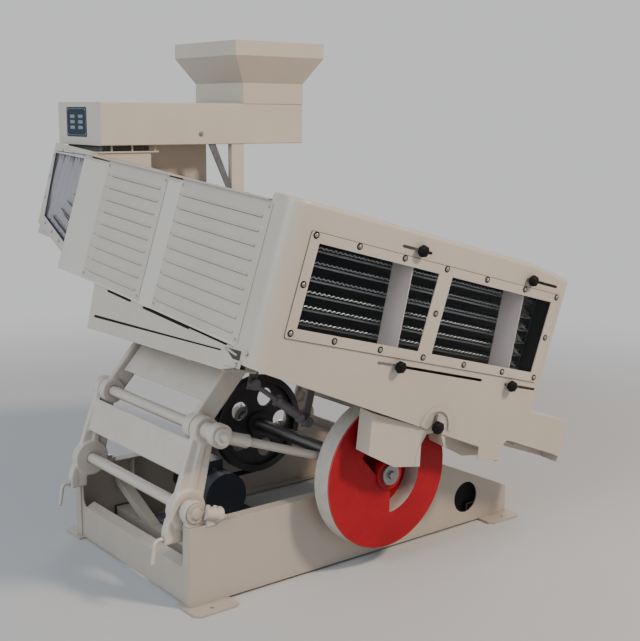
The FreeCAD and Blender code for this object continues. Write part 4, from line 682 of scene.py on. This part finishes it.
def paintNodes():
    for name, members in nodePaint.items():
        for node in members:
            piece = nodes[node]
            piece.data.materials.clear()
            piece.data.materials.append(paints[name])


# Trays: dimpled sheets behind the window, each with a rail under its front edge; the sheets are painted dark
# as painted shade, their rolled edges bright as painted highlight

trays = {
    "count": 6,
    "pitch": 0.048,
    "first": -0.036,
    "left": -0.08,
    "right": 1.18,
    "front": 0.1135,
    "rear": 1.34,
    "dimplePitch": 0.02,
    "dimpleHeight": 0.0052,
    "edge": (0.0022, 0.005, 0.0012, 0.001),  # reach, height, how far it stands out and hangs
    "dimpledDepth": 0.15,
    "lip": 0.003,
    "railDrop": (0.0095, 0.0165),  # below the sheet
    "railBack": 0.01,
    "railThick": 0.004,
}


def trayWave(a):
    return trays["dimpleHeight"] / 2 * math.sin(2 * math.pi * (a - trays["left"]) / trays["dimplePitch"])


def trayEdge(maker, height):
    # rolled edge that follows the first row of dimples
    t = trays
    reach, tall, out, hang = t["edge"]
    step = t["dimplePitch"] / 6
    rings = []
    for k in range(int(round((t["right"] - t["left"]) / step)) + 1):
        a = t["left"] + k * step
        middle = height + trayWave(a) - hang
        rings.append(ring(maker, [(a, t["front"] - out + reach * math.cos(turn),
                                   middle + tall / 2 * math.sin(turn)) for turn in sixths]))
    joinRings(maker, rings)


def traySheet(maker, height):
    t = trays
    step = t["dimplePitch"] / 4
    columns = int(round((t["right"] - t["left"]) / step))
    near = int(t["dimpledDepth"] / step)
    places = [t["front"] + k * step for k in range(near + 1)]
    places += [places[-1] + (t["rear"] - places[-1]) * k / 8 for k in range(1, 9)]
    rows = []
    for n, b in enumerate([t["front"]] + places):
        row = []
        for k in range(columns + 1):
            wave = math.sin(math.pi * 2 * k / 4) * math.cos(math.pi * (b - t["front"]) / t["dimplePitch"])
            lift = t["dimpleHeight"] / 2 * wave if b < t["front"] + t["dimpledDepth"] else 0
            if n == 0:
                lift -= t["lip"]
            row.append((t["left"] + k * step, b, height + lift))
        rows.append(ring(maker, row))
    joinRows(maker, rows)


def buildTrays():
    sheets, edges = bmesh.new(), bmesh.new()
    t = trays
    rails = []
    for k in range(t["count"]):
        height = t["first"] - k * t["pitch"]
        traySheet(sheets, height)
        trayEdge(edges, height)
        rails.append(rectangle(t["left"], t["right"], height - t["railDrop"][1], height - t["railDrop"][0]))
    rear = t["front"] + t["railBack"] + t["railThick"]
    addPiece("trayStack", sheets, "deck", "tray", ["separator_trays"], 80)
    addPiece("trayEdges", edges, "deck", "trayEdge", (), 80)
    addStrips("trayRails", rails, t["railThick"], hoodSpot(0, 0, rear), "trayRail")


# Curled ends of the trays beside the right splitter, painted bright as painted highlight

trayEnds = {"root": 1.06, "tip": 1.134, "front": 0.04, "rear": 0.112, "rise": 0.04}


def buildTrayEnds():
    maker = bmesh.new()
    e = trayEnds
    for k in range(trays["count"]):
        c = trays["first"] - k * trays["pitch"] - 0.008
        rings = []
        for n in range(9):
            share = n / 8
            b = e["rear"] - (e["rear"] - e["front"]) * share
            tip = e["tip"] - 0.018 * share - 0.006 * random.random()
            lift = e["rise"] * (1 - share) ** 1.6
            section = ((e["root"], -0.01), (e["root"] + 0.012, 0.004 * share), (tip, lift - 0.006),
                       (tip - 0.004, lift - 0.008), (e["root"] + 0.006, -0.012))
            rings.append(ring(maker, [(a, b, c + rise) for a, rise in section]))
        joinRings(maker, rings)
    addPiece("trayEndCurls", maker, "deck", "trayEdge", (), 60)


# Painted shade: a black sheet inside the hood's low end, over its shaded inner wall

endShadeSheet = {
    "side": (1.2022, 1.2037),
    "depth": (0.0045, 0.115),
    "height": (-0.335, 0.02),
    "back": (1.136, 1.202, 0.1165, 0.0015),  # from, to, face, thickness
}


def buildEndShadeSheet():
    maker = bmesh.new()
    e = endShadeSheet
    near, far = e["side"]
    prism(maker, rectangle(*e["height"], *e["depth"]), 0, far - near, endSpot(0, 0, far))
    start, end, face, thick = e["back"]
    turn = Matrix(((0, 1, 0, 0), (0, 0, 1, 0), (1, 0, 0, 0), (0, 0, 0, 1)))
    place = onDeck @ Matrix.Translation((0, face, 0)) @ turn
    prism(maker, rectangle(*e["height"], start, end), 0, thick, place)
    addPiece("endShadeSheet", maker, "deck", "shade")


# Window screws with their washers, painted black as painted shade round the heads, and the rubber strip that
# shows round the plate, which also stands for its shadow line

windowScrews = {
    "along": (0.0, 0.178, 0.377, 0.576, 0.779, 0.983, 1.163),
    "drop": 0.308,
    "middle": 0.579,
    "plate": 0.004,
    "washer": 0.0114,
    "dome": 0.007,
    "height": 0.0052,
    "seal": (-0.0195, 1.1825, -0.3265, 0.0115),
    "sealWidth": 0.002,
    "corner": 0.008,
}


def buildWindowScrews():
    heads, washers, seal = bmesh.new(), bmesh.new(), bmesh.new()
    w = windowScrews
    places = [(a, c) for c in (0, -w["drop"]) for a in w["along"]]
    places += [(a, -w["drop"] / 2) for a in (0, w["middle"], w["along"][-1])]
    wide, r, h = w["washer"], w["dome"], w["height"]
    disc = [(0, 0), (wide, 0), (wide, 0.0009), (wide - 0.0005, 0.0013), (0, 0.0013)]
    dome = [(0, 0.0012), (r, 0.0012), (r, 0.0022), (r * 0.92, 0.6 * h),
            (r * 0.68, 0.88 * h), (r * 0.36, h), (0, h * 1.02)]
    for a, c in places:
        at = hoodSpot(a, c, -w["plate"])
        lathe(washers, disc, at, 24)
        lathe(heads, dome, at, 20)
        lathe(heads, [(0.0045, 0), (0.0045, -0.004), (0, -0.004)], at, 12)
    addPiece("windowScrewHeads", heads, "deck", "screw", ["window_bolts"])
    # painted shade: the washers are black to stand for the shade round the screw heads
    addPiece("windowScrewWashers", washers, "deck", "gasket")
    x0, x1, y0, y1 = w["seal"]
    d = w["sealWidth"]
    outer = rectangle(x0, x1, y0, y1, w["corner"])
    inner = rectangle(x0 + d, x1 - d, y0 + d, y1 - d, w["corner"])
    rings = [ring(seal, [(x, y, height) for x, y in points], hoodSpot(0, 0))
             for points, height in ((outer, 0.0001), (outer, 0.0009), (inner, 0.0009))]
    joinRings(seal, rings)
    # the plate's rubber seal, dark all round, also stands for its shadow line
    addPiece("windowPlateSeal", seal, "deck", "gasket")


# Lobed grips of the splitters and the diverter

grips = {
    "lobes": 7,
    "lobeDepth": 0.0011,
    "radius": 0.0198,
    "profile": (  # share of the radius, height, share of the lobes
        (0.0, 0.0, 0), (0.5, 0.0, 0), (0.56, 0.002, 0), (0.8, 0.005, 0.4), (0.97, 0.0085, 1), (1.0, 0.012, 1),
        (1.0, 0.019, 1), (0.95, 0.0225, 1), (0.84, 0.0252, 0.6), (0.6, 0.0272, 0.2), (0.3, 0.028, 0),
        (0.0, 0.0282, 0)),
    "left": ((0.435, 0.037), (0.474, -0.352)),
    "right": ((0.999, 0.037), (1.043, -0.352)),
    "diverter": (0.716, -0.537),
}


def gripHead(maker, a, c, face, size):
    r = grips["radius"] * size
    profile = [(share * r, height * size, lobe) for share, height, lobe in grips["profile"]]
    lathe(maker, profile, hoodSpot(a, c, -face), 56, grips["lobes"], grips["lobeDepth"])


def buildGrips():
    foot = [(0, 0.0002), (0.0115, 0.0002), (0.0115, 0.0022), (0.0085, 0.003), (0, 0.003)]
    stud = [(0.0045, 0.001), (0.0045, -0.013), (0, -0.013)]
    for side in ("left", "right"):
        maker, studs = bmesh.new(), bmesh.new()
        for a, c in grips[side]:
            gripHead(maker, a, c, 0.003, 1.0)
            lathe(studs, foot, hoodSpot(a, c), 24)
            lathe(studs, stud, hoodSpot(a, c), 12)
        body, knobs = side + "_splitter", ["splitter_" + side + "_knobs"]
        addPiece(side + "SplitterGrips", maker, body, "knob", knobs)
        addPiece(side + "SplitterStuds", studs, body, "zinc")
    maker = bmesh.new()
    gripHead(maker, *grips["diverter"], 0.009, 1.12)
    addPiece("diverterGrip", maker, "diverter", "knob", ["diverter_knob"])


# Louvred covers: dark strips under the louvres as the slits' painted shadow, and the small screws beside them

louvres = {
    "notches": ((1.196, 1.372), (0.64, 0.768)),
    "notchHeight": (0.047, 0.0588),
    "count": 9,
    "first": 0.01,
    "pitch": 0.046,
    "slit": (0.0002, 0.0019),  # below each louvre
    "slitEnds": ((0.143, 0.628), (0.784, 1.155)),
    "screwAt": (0.6405, 1.18),
    "cornerScrews": ((0.118, 0.638, 0.76, 1.192), (0.046, -0.372)),
}


def buildNotchLips():
    # narrow the two notches above the covers
    strips = [rectangle(*louvres["notchHeight"], *ends) for ends in louvres["notches"]]
    addStrips("notchLips", strips, 0.0012, endSpot(0, 0, -0.1048), "stile")


def buildLouvreDress():
    v = louvres
    high, low = v["slit"]
    heights = [v["first"] - k * v["pitch"] for k in range(v["count"])]
    slits = [rectangle(c - low, c - high, *ends) for c in heights for ends in v["slitEnds"]]
    addStrips("louvreSlits", slits, 0.0003, endSpot(0, 0), "slitShadow")
    screws = bmesh.new()
    for c in heights:
        for b in v["screwAt"]:
            panHead(screws, endSpot(b, c + 0.003), 0.0032, 0.002)
    along, rows = v["cornerScrews"]
    for b in along:
        for c in rows:
            panHead(screws, endSpot(b, c), 0.0046, 0.0028)
    addPiece("coverScrews", screws, "deck", "panelScrew")


# Painted shade: black strips behind the gaps over the skirt, and inside the skirt's slot

skirtGapShade = {
    "faces": (-0.0998, -0.099),
    "strips": (  # from, to, low, high
        (0.165, 0.396, -0.4022, -0.388),
        (0.396, 0.713, -0.4062, -0.388),
        (0.806, 0.988, -0.404, -0.388)),
}


def buildSkirtGapShade():
    near, far = skirtGapShade["faces"]
    strips = [rectangle(c0, c1, b0, b1) for b0, b1, c0, c1 in skirtGapShade["strips"]]
    addStrips("skirtGapShade", strips, far - near, endSpot(0, 0, far), "shade")


# Painted shade: a black strip along the skirt's long slot, and the bolt on the duct's front

skirtSlotShade = {"start": (0.19, -0.425), "end": (1.04, -0.5132), "height": 0.0095, "face": -0.099}
ductBolt = {"at": (-0.023, 0.645, 1.516), "head": (0.0075, 0.006, 0.011)}  # radius, height, washer


def buildSkirtSlotShade():
    (b0, c0), (b1, c1) = skirtSlotShade["start"], skirtSlotShade["end"]
    tall = skirtSlotShade["height"]
    outline = [(c0, b0), (c0 + tall * 0.45, b0), (c1 + tall, b1), (c1, b1)]
    addStrips("skirtSlotShade", [outline], 0.0006, endSpot(0, 0, skirtSlotShade["face"]), "shade")
    maker = bmesh.new()
    hexHead(maker, spot(*ductBolt["at"], (0, -1, 0)), *ductBolt["head"])
    addPiece("ductBolt", maker, "deck", "screw")


# Catch bracket and bolts where the skirt meets the hood

catch = {
    "leaf": ((0.1669, -0.4121), (0.0596, -0.429), (0.0568, -0.452), (0.151, -0.4597)),
    "pocket": ((0.1594, -0.407), (0.0724, -0.3988), (0.0709, -0.4288), (0.105, -0.4308)),
    "bar": ((0.1458, -0.4087), (0.0855, -0.4155)),
    "bolts": ((0.0797, -0.4438, 0.007), (0.0452, -0.4, 0.0052)),
    "face": -0.1052,
}


def buildCatch():
    # folded leaf with a triangular pocket painted dark as painted shade, its bar and bolts
    leaf, pocket, bolts = bmesh.new(), bmesh.new(), bmesh.new()
    face = endSpot(0, 0, catch["face"])
    prism(leaf, [(c, b) for b, c in catch["leaf"]], 0, 0.0012, face)
    prism(pocket, [(c, b) for b, c in catch["pocket"]], 0.0012, 0.0018, face)
    (b0, c0), (b1, c1) = catch["bar"]
    weldBead(leaf, face @ Vector((c0, b0, 0.003)), face @ Vector((c1, b1, 0.003)), 0.0042)
    for b, c, size in catch["bolts"]:
        hexHead(bolts, face @ Matrix.Translation((c, b, 0.0012)), size, 0.0045, size * 1.3)
    addPiece("skirtCatch", leaf, "deck", "panel")
    addPiece("skirtCatchPocket", pocket, "deck", "pocketShadow")
    addPiece("skirtCatchBolts", bolts, "deck", "zinc")


# Feed window: screws in its painted frame, and the dark joints along it

feedFrame = {
    "face": -0.105,
    "screws": (
        (1.701, 0.03), (1.696, -0.055), (1.688, -0.146), (1.6285, -0.247), (1.55, -0.2715),
        (1.47, -0.296), (1.63, 0.057), (1.53, 0.0575), (1.43, 0.0585)),
    "joints": (  # from, to, width
        ((1.686, 0.05), (1.65, -0.2215), 0.0026),
        ((1.652, -0.22), (1.396, -0.3), 0.0075),
        ((1.686, 0.05), (1.405, 0.064), 0.0022)),
}


def buildFeedFrame():
    face = feedFrame["face"]
    joints = []
    for (b0, c0), (b1, c1), width in feedFrame["joints"]:
        along = Vector((c1 - c0, b1 - b0)).normalized() * width / 2
        x, y = -along.y, along.x
        joints.append([(c0 - x, b0 - y), (c0 + x, b0 + y), (c1 + x, b1 + y), (c1 - x, b1 - y)])
    addStrips("feedWindowEdges", joints, 0.0006, endSpot(0, 0, face), "shade")
    screws = bmesh.new()
    for b, c in feedFrame["screws"]:
        panHead(screws, endSpot(b, c, face), 0.0058, 0.0034)
    addPiece("feedWindowScrews", screws, "deck", "screw")


# Fluted liner close behind the feed window, with the shade in the chutes' mouths and the flutes' valleys
# painted as black strips

feedLiner = {
    "b": (1.398, 1.697),
    "c": (-0.298, 0.058),
    "face": -0.0925,
    "columns": 78,
    "rows": 12,
    "flute": 0.046,
    "firstFlute": 1.407,
    "slant": 0.1,
    "depth": 0.0055,
    "mouthFace": -0.0999,
    "mouths": (
        ((1.441, -0.0935), (1.398, -0.1085), (1.398, -0.117)),
        ((1.486, -0.13), (1.398, -0.154), (1.398, -0.1655), (1.44, -0.15)),
        ((1.532, -0.165), (1.398, -0.201), (1.398, -0.217), (1.47, -0.196), (1.52, -0.174)),
        ((1.59, -0.205), (1.57, -0.21), (1.398, -0.2545), (1.398, -0.27), (1.5, -0.242),
         (1.575, -0.217)),
        ((1.652, -0.217), (1.64, -0.2205), (1.398, -0.29), (1.398, -0.299), (1.645, -0.226))),
    "valleyShades": 9,
}


def buildFeedLiner():
    maker = bmesh.new()
    f = feedLiner
    (b0, b1), (c0, c1) = f["b"], f["c"]
    grid = []
    for n in range(f["rows"] + 1):
        c = c0 + (c1 - c0) * n / f["rows"]
        line = []
        for k in range(f["columns"] + 1):
            b = b0 + (b1 - b0) * k / f["columns"]
            turn = 2 * math.pi * (b - f["firstFlute"] + (c - 0.05) * f["slant"]) / f["flute"]
            line.append((f["face"] + f["depth"] * (math.cos(turn) + 0.22 * math.cos(2 * turn)), b, c))
        grid.append(ring(maker, line))
    joinRows(maker, grid)
    outlines = [[(c, b) for b, c in outline] for outline in f["mouths"]]
    # painted shade: dark slivers hanging in the flutes' valleys at the top edge
    for k in range(f["valleyShades"]):
        b, long = 1.672 - 0.03 * k, 0.016 + 0.012 * (k * 7 % 3)
        outlines.append([(0.058, b - 0.0045), (0.058, b + 0.0045), (0.044 - long, b + 0.0005)])
    addPiece("feedLiner", maker, "deck", "flute", (), 80)
    addStrips("chuteMouths", outlines, 0.0005, endSpot(0, 0, f["mouthFace"]), "shade")


# Closing strip between the hood and the lower roof

hoodSeam = {
    "face": 0.1178,
    "thick": 0.0015,
    "outline": (
        (-0.1015, 0.0705), (1.2035, 0.0705), (1.2035, 0.0728),
        (0.994, 0.0945), (-0.086, 0.0945), (-0.1015, 0.08)),
}


def buildHoodSeam():
    place = hoodSpot(0, 0, hoodSeam["face"])
    addStrips("hoodSeam", [hoodSeam["outline"]], hoodSeam["thick"], place, "panel")


# Pressed ribs and rows of screws on the deck's plain walls and roof

wallDress = {  # rows of screws: from, to, count
    "right": {
        "at": (1.207, 0, 0),
        "ribs": ((0.33, -0.16), (0.6, -0.16), (0.87, -0.16), (1.14, -0.16)),
        "rows": (((0.16, 0.05), (1.35, 0.05), 8), ((0.16, -0.372), (1.35, -0.372), 8)),
    },
    "rear": {
        "at": (0, 1.385, 0),
        "ribs": ((-0.76, -0.16), (-1.0, -0.16)),
        "rows": (((-0.64, 0.05), (-1.17, 0.05), 5), ((-0.64, -0.368), (-1.17, -0.368), 5)),
    },
    "roof": {
        "at": (0, 0, 0.072),
        "ribs": (),
        "rows": (((0.0, 0.15), (1.18, 0.15), 8), ((1.18, 0.32), (1.18, 1.35), 7),
                 ((-0.06, 0.32), (-0.06, 1.25), 6)),
    },
}
rib = {"long": 0.33, "wide": 0.046, "rise": 0.0035}
wallScrew = (0.0056, 0.003)  # radius, height


def pressedRib(maker, place):
    rise = rib["rise"]
    rings = []
    steps = (0, 0.0001), (rise * 0.9, rise * 0.55), (rise * 2.2, rise * 0.92), (rise * 3.6, rise)
    for inset, height in steps:
        x, y = rib["long"] / 2 - inset, rib["wide"] / 2 - inset
        rings.append(ring(maker, [(px, py, height) for px, py in rectangle(-x, x, -y, y, y * 0.98)], place))
    joinRings(maker, rings)
    maker.faces.new(rings[-1])


def buildWallDress():
    faces = {
        "right": Matrix(((0, 0, 1, 0), (1, 0, 0, 0), (0, 1, 0, 0), (0, 0, 0, 1))),
        "rear": Matrix(((-1, 0, 0, 0), (0, 0, 1, 0), (0, 1, 0, 0), (0, 0, 0, 1))),
        "roof": Matrix.Identity(4),
    }
    ribs, screws = bmesh.new(), bmesh.new()
    for name, wall in wallDress.items():
        place = onDeck @ Matrix.Translation(wall["at"]) @ faces[name]
        for x, y in wall["ribs"]:
            pressedRib(ribs, place @ Matrix.Translation((x, y, 0)) @ turned("Z", 90))
        for (x0, y0), (x1, y1), count in wall["rows"]:
            for k in range(count):
                t = k / (count - 1)
                at = place @ Matrix.Translation((x0 + (x1 - x0) * t, y0 + (y1 - y0) * t, 0))
                panHead(screws, at, *wallScrew)
    addPiece("wallRibs", ribs, "deck", "panel", (), 60)
    addPiece("wallScrews", screws, "deck", "panelScrew")


# Bare data plate on the duct's end: a border, blank fields and four rivets

dataPlate = {
    "middle": (-0.483, 0.854, 1.564),
    "height": 0.118,
    "width": 0.178,
    "border": (0.006, 0.0075),  # outer and inner distance from the edge
    "fields": (0.022, 0.0, -0.022),  # places up the plate
    "fieldSize": (0.0065, 0.016, 0.056),  # half height, from, to
    "rivetInset": 0.0115,
}


def buildDataPlate():
    plate, marks = bmesh.new(), bmesh.new()
    p = dataPlate
    at = Matrix.Translation(p["middle"]) @ turned("Y", -90)
    x, y = p["height"] / 2, p["width"] / 2
    prism(plate, rectangle(-x, x, -y, y, 0.006), 0, 0.0012, at)
    rings = []
    for inset, corner in zip(p["border"], (0.004, 0.003)):
        points = rectangle(-x + inset, x - inset, -y + inset, y - inset, corner)
        rings.append(ring(marks, [(px, py, 0.0015) for px, py in points], at))
    joinRings(marks, rings)
    half, near, far = p["fieldSize"]
    for middle in p["fields"]:
        for low, high in ((-far, -near), (near, far)):
            prism(marks, rectangle(middle - half, middle + half, low, high, 0.003), 0.0011, 0.0015, at)
    x, y = x - p["rivetInset"], y - p["rivetInset"]
    for px in (-x, x):
        for py in (-y, y):
            panHead(marks, at @ Matrix.Translation((px, py, 0.0012)), 0.003, 0.0018)
    addPiece("dataPlate", plate, "deck", "plateBlue")
    addPiece("dataPlateFields", marks, "deck", "plateSilver")


# Pleated rubber boot in the gap under the duct

boot = {
    "x": (-0.461, -0.25),
    "y": (0.689, 0.976),
    "z": (1.4492, 1.4728),
    "pleat": 0.0065,
    "depth": (0.0012, 0.005),
}


def buildBoot():
    maker = bmesh.new()
    corners = rectangle(*boot["x"], *boot["y"])
    near, far = boot["depth"]
    outline = []
    ways = (0, -1), (1, 0), (0, 1), (-1, 0)
    for (x0, y0), (x1, y1), (outX, outY) in zip(corners, corners[1:] + corners[:1], ways):
        count = int(math.dist((x0, y0), (x1, y1)) / boot["pleat"])
        for k in range(count):
            for part, reach in ((0.0, near), (0.25, far), (0.5, far), (0.75, near)):
                share = (k + part) / count
                outline.append((x0 + (x1 - x0) * share + outX * reach, y0 + (y1 - y0) * share + outY * reach))
    prism(maker, outline, *boot["z"], Matrix.Identity(4), False)
    addPiece("neckBoot", maker, "deck", "bootRubber", (), 60)


# Painted shade: black cups behind the hand holes of the base

handCup = {"x": 0.52, "y": 0.4104, "z": 0.115, "radius": 0.0655, "depth": 0.016, "rim": 0.008}


def buildHandCups():
    maker = bmesh.new()
    r, d, rim = (handCup[k] for k in ("radius", "depth", "rim"))
    outside = [(r + rim, 0.0002), (r + rim, 0.0022), (r + 0.002, 0.0026), (r + 0.002, d + 0.002),
               (0, d + 0.002)]
    inside = [(r + rim, 0.0002), (r - 0.0015, 0.0002), (r - 0.003, d - 0.006), (r - 0.009, d), (0, d)]
    for side in (-1, 1):
        at = spot(handCup["x"], side * handCup["y"], handCup["z"], (0, -side, 0))
        lathe(maker, outside, at, 40)
        lathe(maker, inside, at, 40)
    addPiece("handHoleCups", maker, "base", "shade")


# Covers and grease nipples on the bearing blocks

blockDress = {
    "covers": ((-0.72, 0.325), (0.27, 0.325)),
    "face": 0.4092,
    "radius": 0.034,
    "boltRing": 0.8,  # share of the radius
    "blocks": ((-0.72, 0.325, 0.042), (0.27, 0.325, 0.042), (-0.004, 0.351, 0.047)),
    "nippleY": 0.389,
}


def greaseNipple(maker, place):
    neck = [(0.003, 0.003), (0.0026, 0.0052), (0.0017, 0.0062), (0.0017, 0.0074)]
    lathe(maker, [(0.0048, -0.002), (0.0048, 0.003), (0.003, 0.0034)], place, 6)
    lathe(maker, neck + [(0.0026, 0.0086), (0.0024, 0.0102), (0, 0.0108)], place, 12)


def buildBlockDress():
    covers, bolts = bmesh.new(), bmesh.new()
    d = blockDress
    r = d["radius"]
    cover = [(r, 0), (r, 0.003), (r - 0.002, 0.0046), (r * 0.62, 0.005),
             (r * 0.54, 0.0095), (r * 0.42, 0.012), (r * 0.2, 0.0132), (0, 0.0134)]
    reach = r * d["boltRing"]
    for side in (-1, 1):
        for x, z in d["covers"]:
            at = spot(x, side * d["face"], z, (0, side, 0))
            lathe(covers, cover, at, 32)
            for turn in map(math.radians, (30, 150, 270)):
                place = at @ Matrix.Translation((reach * math.cos(turn), reach * math.sin(turn), 0.0048))
                hexHead(bolts, place, 0.0042, 0.0034)
        for x, z, rise in d["blocks"]:
            greaseNipple(bolts, spot(x, side * d["nippleY"], z + rise - 0.001, (0, 0, 1)))
    addPiece("bearingCovers", covers, "base", "cream")
    addPiece("bearingCoverBolts", bolts, "base", "cream")


# Stub clamps beside the left rocker's lower pivots

pivotClamp = {
    "from": (-0.69, 0.413, 0.322),
    "slope": 0.28,
    "profile": [(0, 0), (0.0225, 0), (0.0225, 0.046), (0.0265, 0.048),
                (0.0265, 0.062), (0.024, 0.065), (0, 0.065)],
    "nut": (0.013, 0.0085, 0.0165),  # radius, height, washer
    "lug": (0.02, 0.013, 0.031),  # half width, half depth, length
    "bolts": (0.014, 0.04),
    "boltHead": (0.0068, 0.0065, 0.0092),
}


def buildPivotClamps():
    maker = bmesh.new()
    p = pivotClamp
    x, y, z = p["from"]
    half, deep, long = p["lug"]
    for side in (-1, 1):
        at = spot(x, side * y, z, (0.96, 0.0, -p["slope"]))
        lathe(maker, p["profile"], at, 28)
        hexHead(maker, at @ Matrix.Translation((0, 0, p["profile"][-1][1])), *p["nut"])
        under = spot(x + 0.026, side * (y - 0.006), z - 0.016, (0, 0, -1))
        prism(maker, rectangle(-half, half, -deep, deep, 0.004), 0, long, under)
        for along in p["bolts"]:
            top = spot(x + along, side * y, z + 0.0205 - along * p["slope"], (p["slope"], 0, 0.96))
            hexHead(maker, top, *p["boltHead"])
    addPiece("pivotClamps", maker, "base", "rocker")


# Sand-cast parts: the CAD solid's own faces, melted together with small fillets

castings = {
    "leftRockerCasting": {"node": "left_rocker_frame", "body": "left_rocker", "voxel": 0.0034, "melt": 5},
    "rightRockerCasting": {"node": "right_rocker_frame", "body": "right_rocker", "voxel": 0.0034, "melt": 5},
    "bearingBlockCastings": {"node": "bearing_blocks", "body": "base", "voxel": 0.0028, "melt": 3},
    "cradleArmCastings": {"node": "cradle_arms", "body": "deck", "voxel": 0.0034, "melt": 4},
}


def buildCastings():
    for name, c in castings.items():
        piece = linked(name, nodes[c["node"]].data.copy())
        remesh = piece.modifiers.new("remesh", "REMESH")
        remesh.mode = "VOXEL"
        remesh.voxel_size = c["voxel"]
        melt = piece.modifiers.new("melt", "SMOOTH")
        melt.factor = 0.6
        melt.iterations = c["melt"]
        thin = piece.modifiers.new("thin", "DECIMATE")
        thin.ratio = 0.35
        bpy.context.view_layer.update()
        mesh = bpy.data.meshes.new_from_object(piece.evaluated_get(bpy.context.evaluated_depsgraph_get()))
        piece.modifiers.clear()
        mesh.materials.clear()
        mesh.materials.append(paints["casting"])
        mesh.name = name
        piece.data = mesh
        mesh.shade_smooth()
        mesh.set_sharp_from_angle(angle=math.radians(50))
        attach(piece, c["body"])
        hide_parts(c["node"])
        print("casting", name, len(mesh.polygons))


# Weld beads along the seams of the hopper and the base

welds = {
    "neck": (0.19, 0.505, 0.645, 1.022),
    "neckZ": (1.643, 1.73),
    "rim": (0.1155, 0.5795, 0.5885, 1.0785),
    "rimZ": 1.841,
    "baseX": 0.7452,
    "baseY": 0.4108,
    "baseTops": (0.226, 0.104),  # at the high and the low end
}


def buildWelds():
    maker = bmesh.new()
    w = welds
    low = rectangle(*w["neck"])
    high = rectangle(*w["rim"])
    z0, z1 = w["neckZ"]
    for k in range(4):
        n = (k + 1) % 4
        weldBead(maker, (*low[k], z0 + 0.0005), (*low[n], z0 + 0.0005), 0.0022)
        weldBead(maker, (*low[k], z0 + 0.003), (*low[k], z1), 0.0016)
        weldBead(maker, (*low[k], z1), (*high[k], w["rimZ"]), 0.0018)
    addPiece("hopperWelds", maker, "deck", "panel", (), 80)
    maker = bmesh.new()
    for side in (-1, 1):
        y = side * w["baseY"] - side * 0.004
        for x, top in zip((-w["baseX"], w["baseX"]), w["baseTops"]):
            weldBead(maker, (x, y, 0.014), (x, y, top), 0.003)
    addPiece("baseWelds", maker, "base", "cream", (), 80)


def buildStudio():
    world = bpy.data.worlds.new("studio")
    bpy.context.scene.world = world
    sky = Paint("studioSky", world)
    way = sky.add("TexCoord", out="Generated")
    height = sky.axis(way, "Z")
    sockets = {0: way, 1: studio["backdropWay"]}
    behind = sky.add("VectorMath", {"operation": "DOT_PRODUCT"}, sockets, out="Value")
    wall = sky.mix(behind.over(*studio["backdropBand"]), studio["room"], studio["horizon"])
    sky.set(Color=sky.mix(height.over(*studio["skyBand"]), wall, studio["overhead"]))
    for name, values in studio["lights"].items():
        areaLight(name, *values)
    mesh = bpy.data.meshes.new("studioFloor")
    maker = bmesh.new()
    bmesh.ops.create_circle(maker, cap_ends=True, segments=96, radius=studio["floorFade"][1] + 0.3)
    maker.to_mesh(mesh)
    maker.free()
    floor = linked("studioFloor", mesh)
    floor.location = (0, 0, -0.0005)
    paint = Paint("floorPaper")
    reach = paint.add("VectorMath", {"operation": "LENGTH"}, {0: paint.at}, out="Value")
    fade = reach.over(*studio["floorFade"])
    paint.set(Base_Color=studio["floorColour"], Roughness=0.9, Alpha=1 - fade, Specular_IOR_Level=0.1)
    mesh.materials.append(paint.material)


stages = (
    placeCamera, buildPaints, buildStudio, paintNodes, buildTrays, buildTrayEnds, buildEndShadeSheet,
    buildWindowScrews, buildGrips, buildNotchLips, buildLouvreDress, buildSkirtGapShade, buildSkirtSlotShade,
    buildCatch, buildFeedFrame, buildFeedLiner, buildHoodSeam, buildWallDress, buildDataPlate,
    buildBoot, buildHandCups, buildBlockDress, buildPivotClamps, buildCastings, buildWelds)
for stage in stages:
    stage()
    print("done:", stage.__name__)
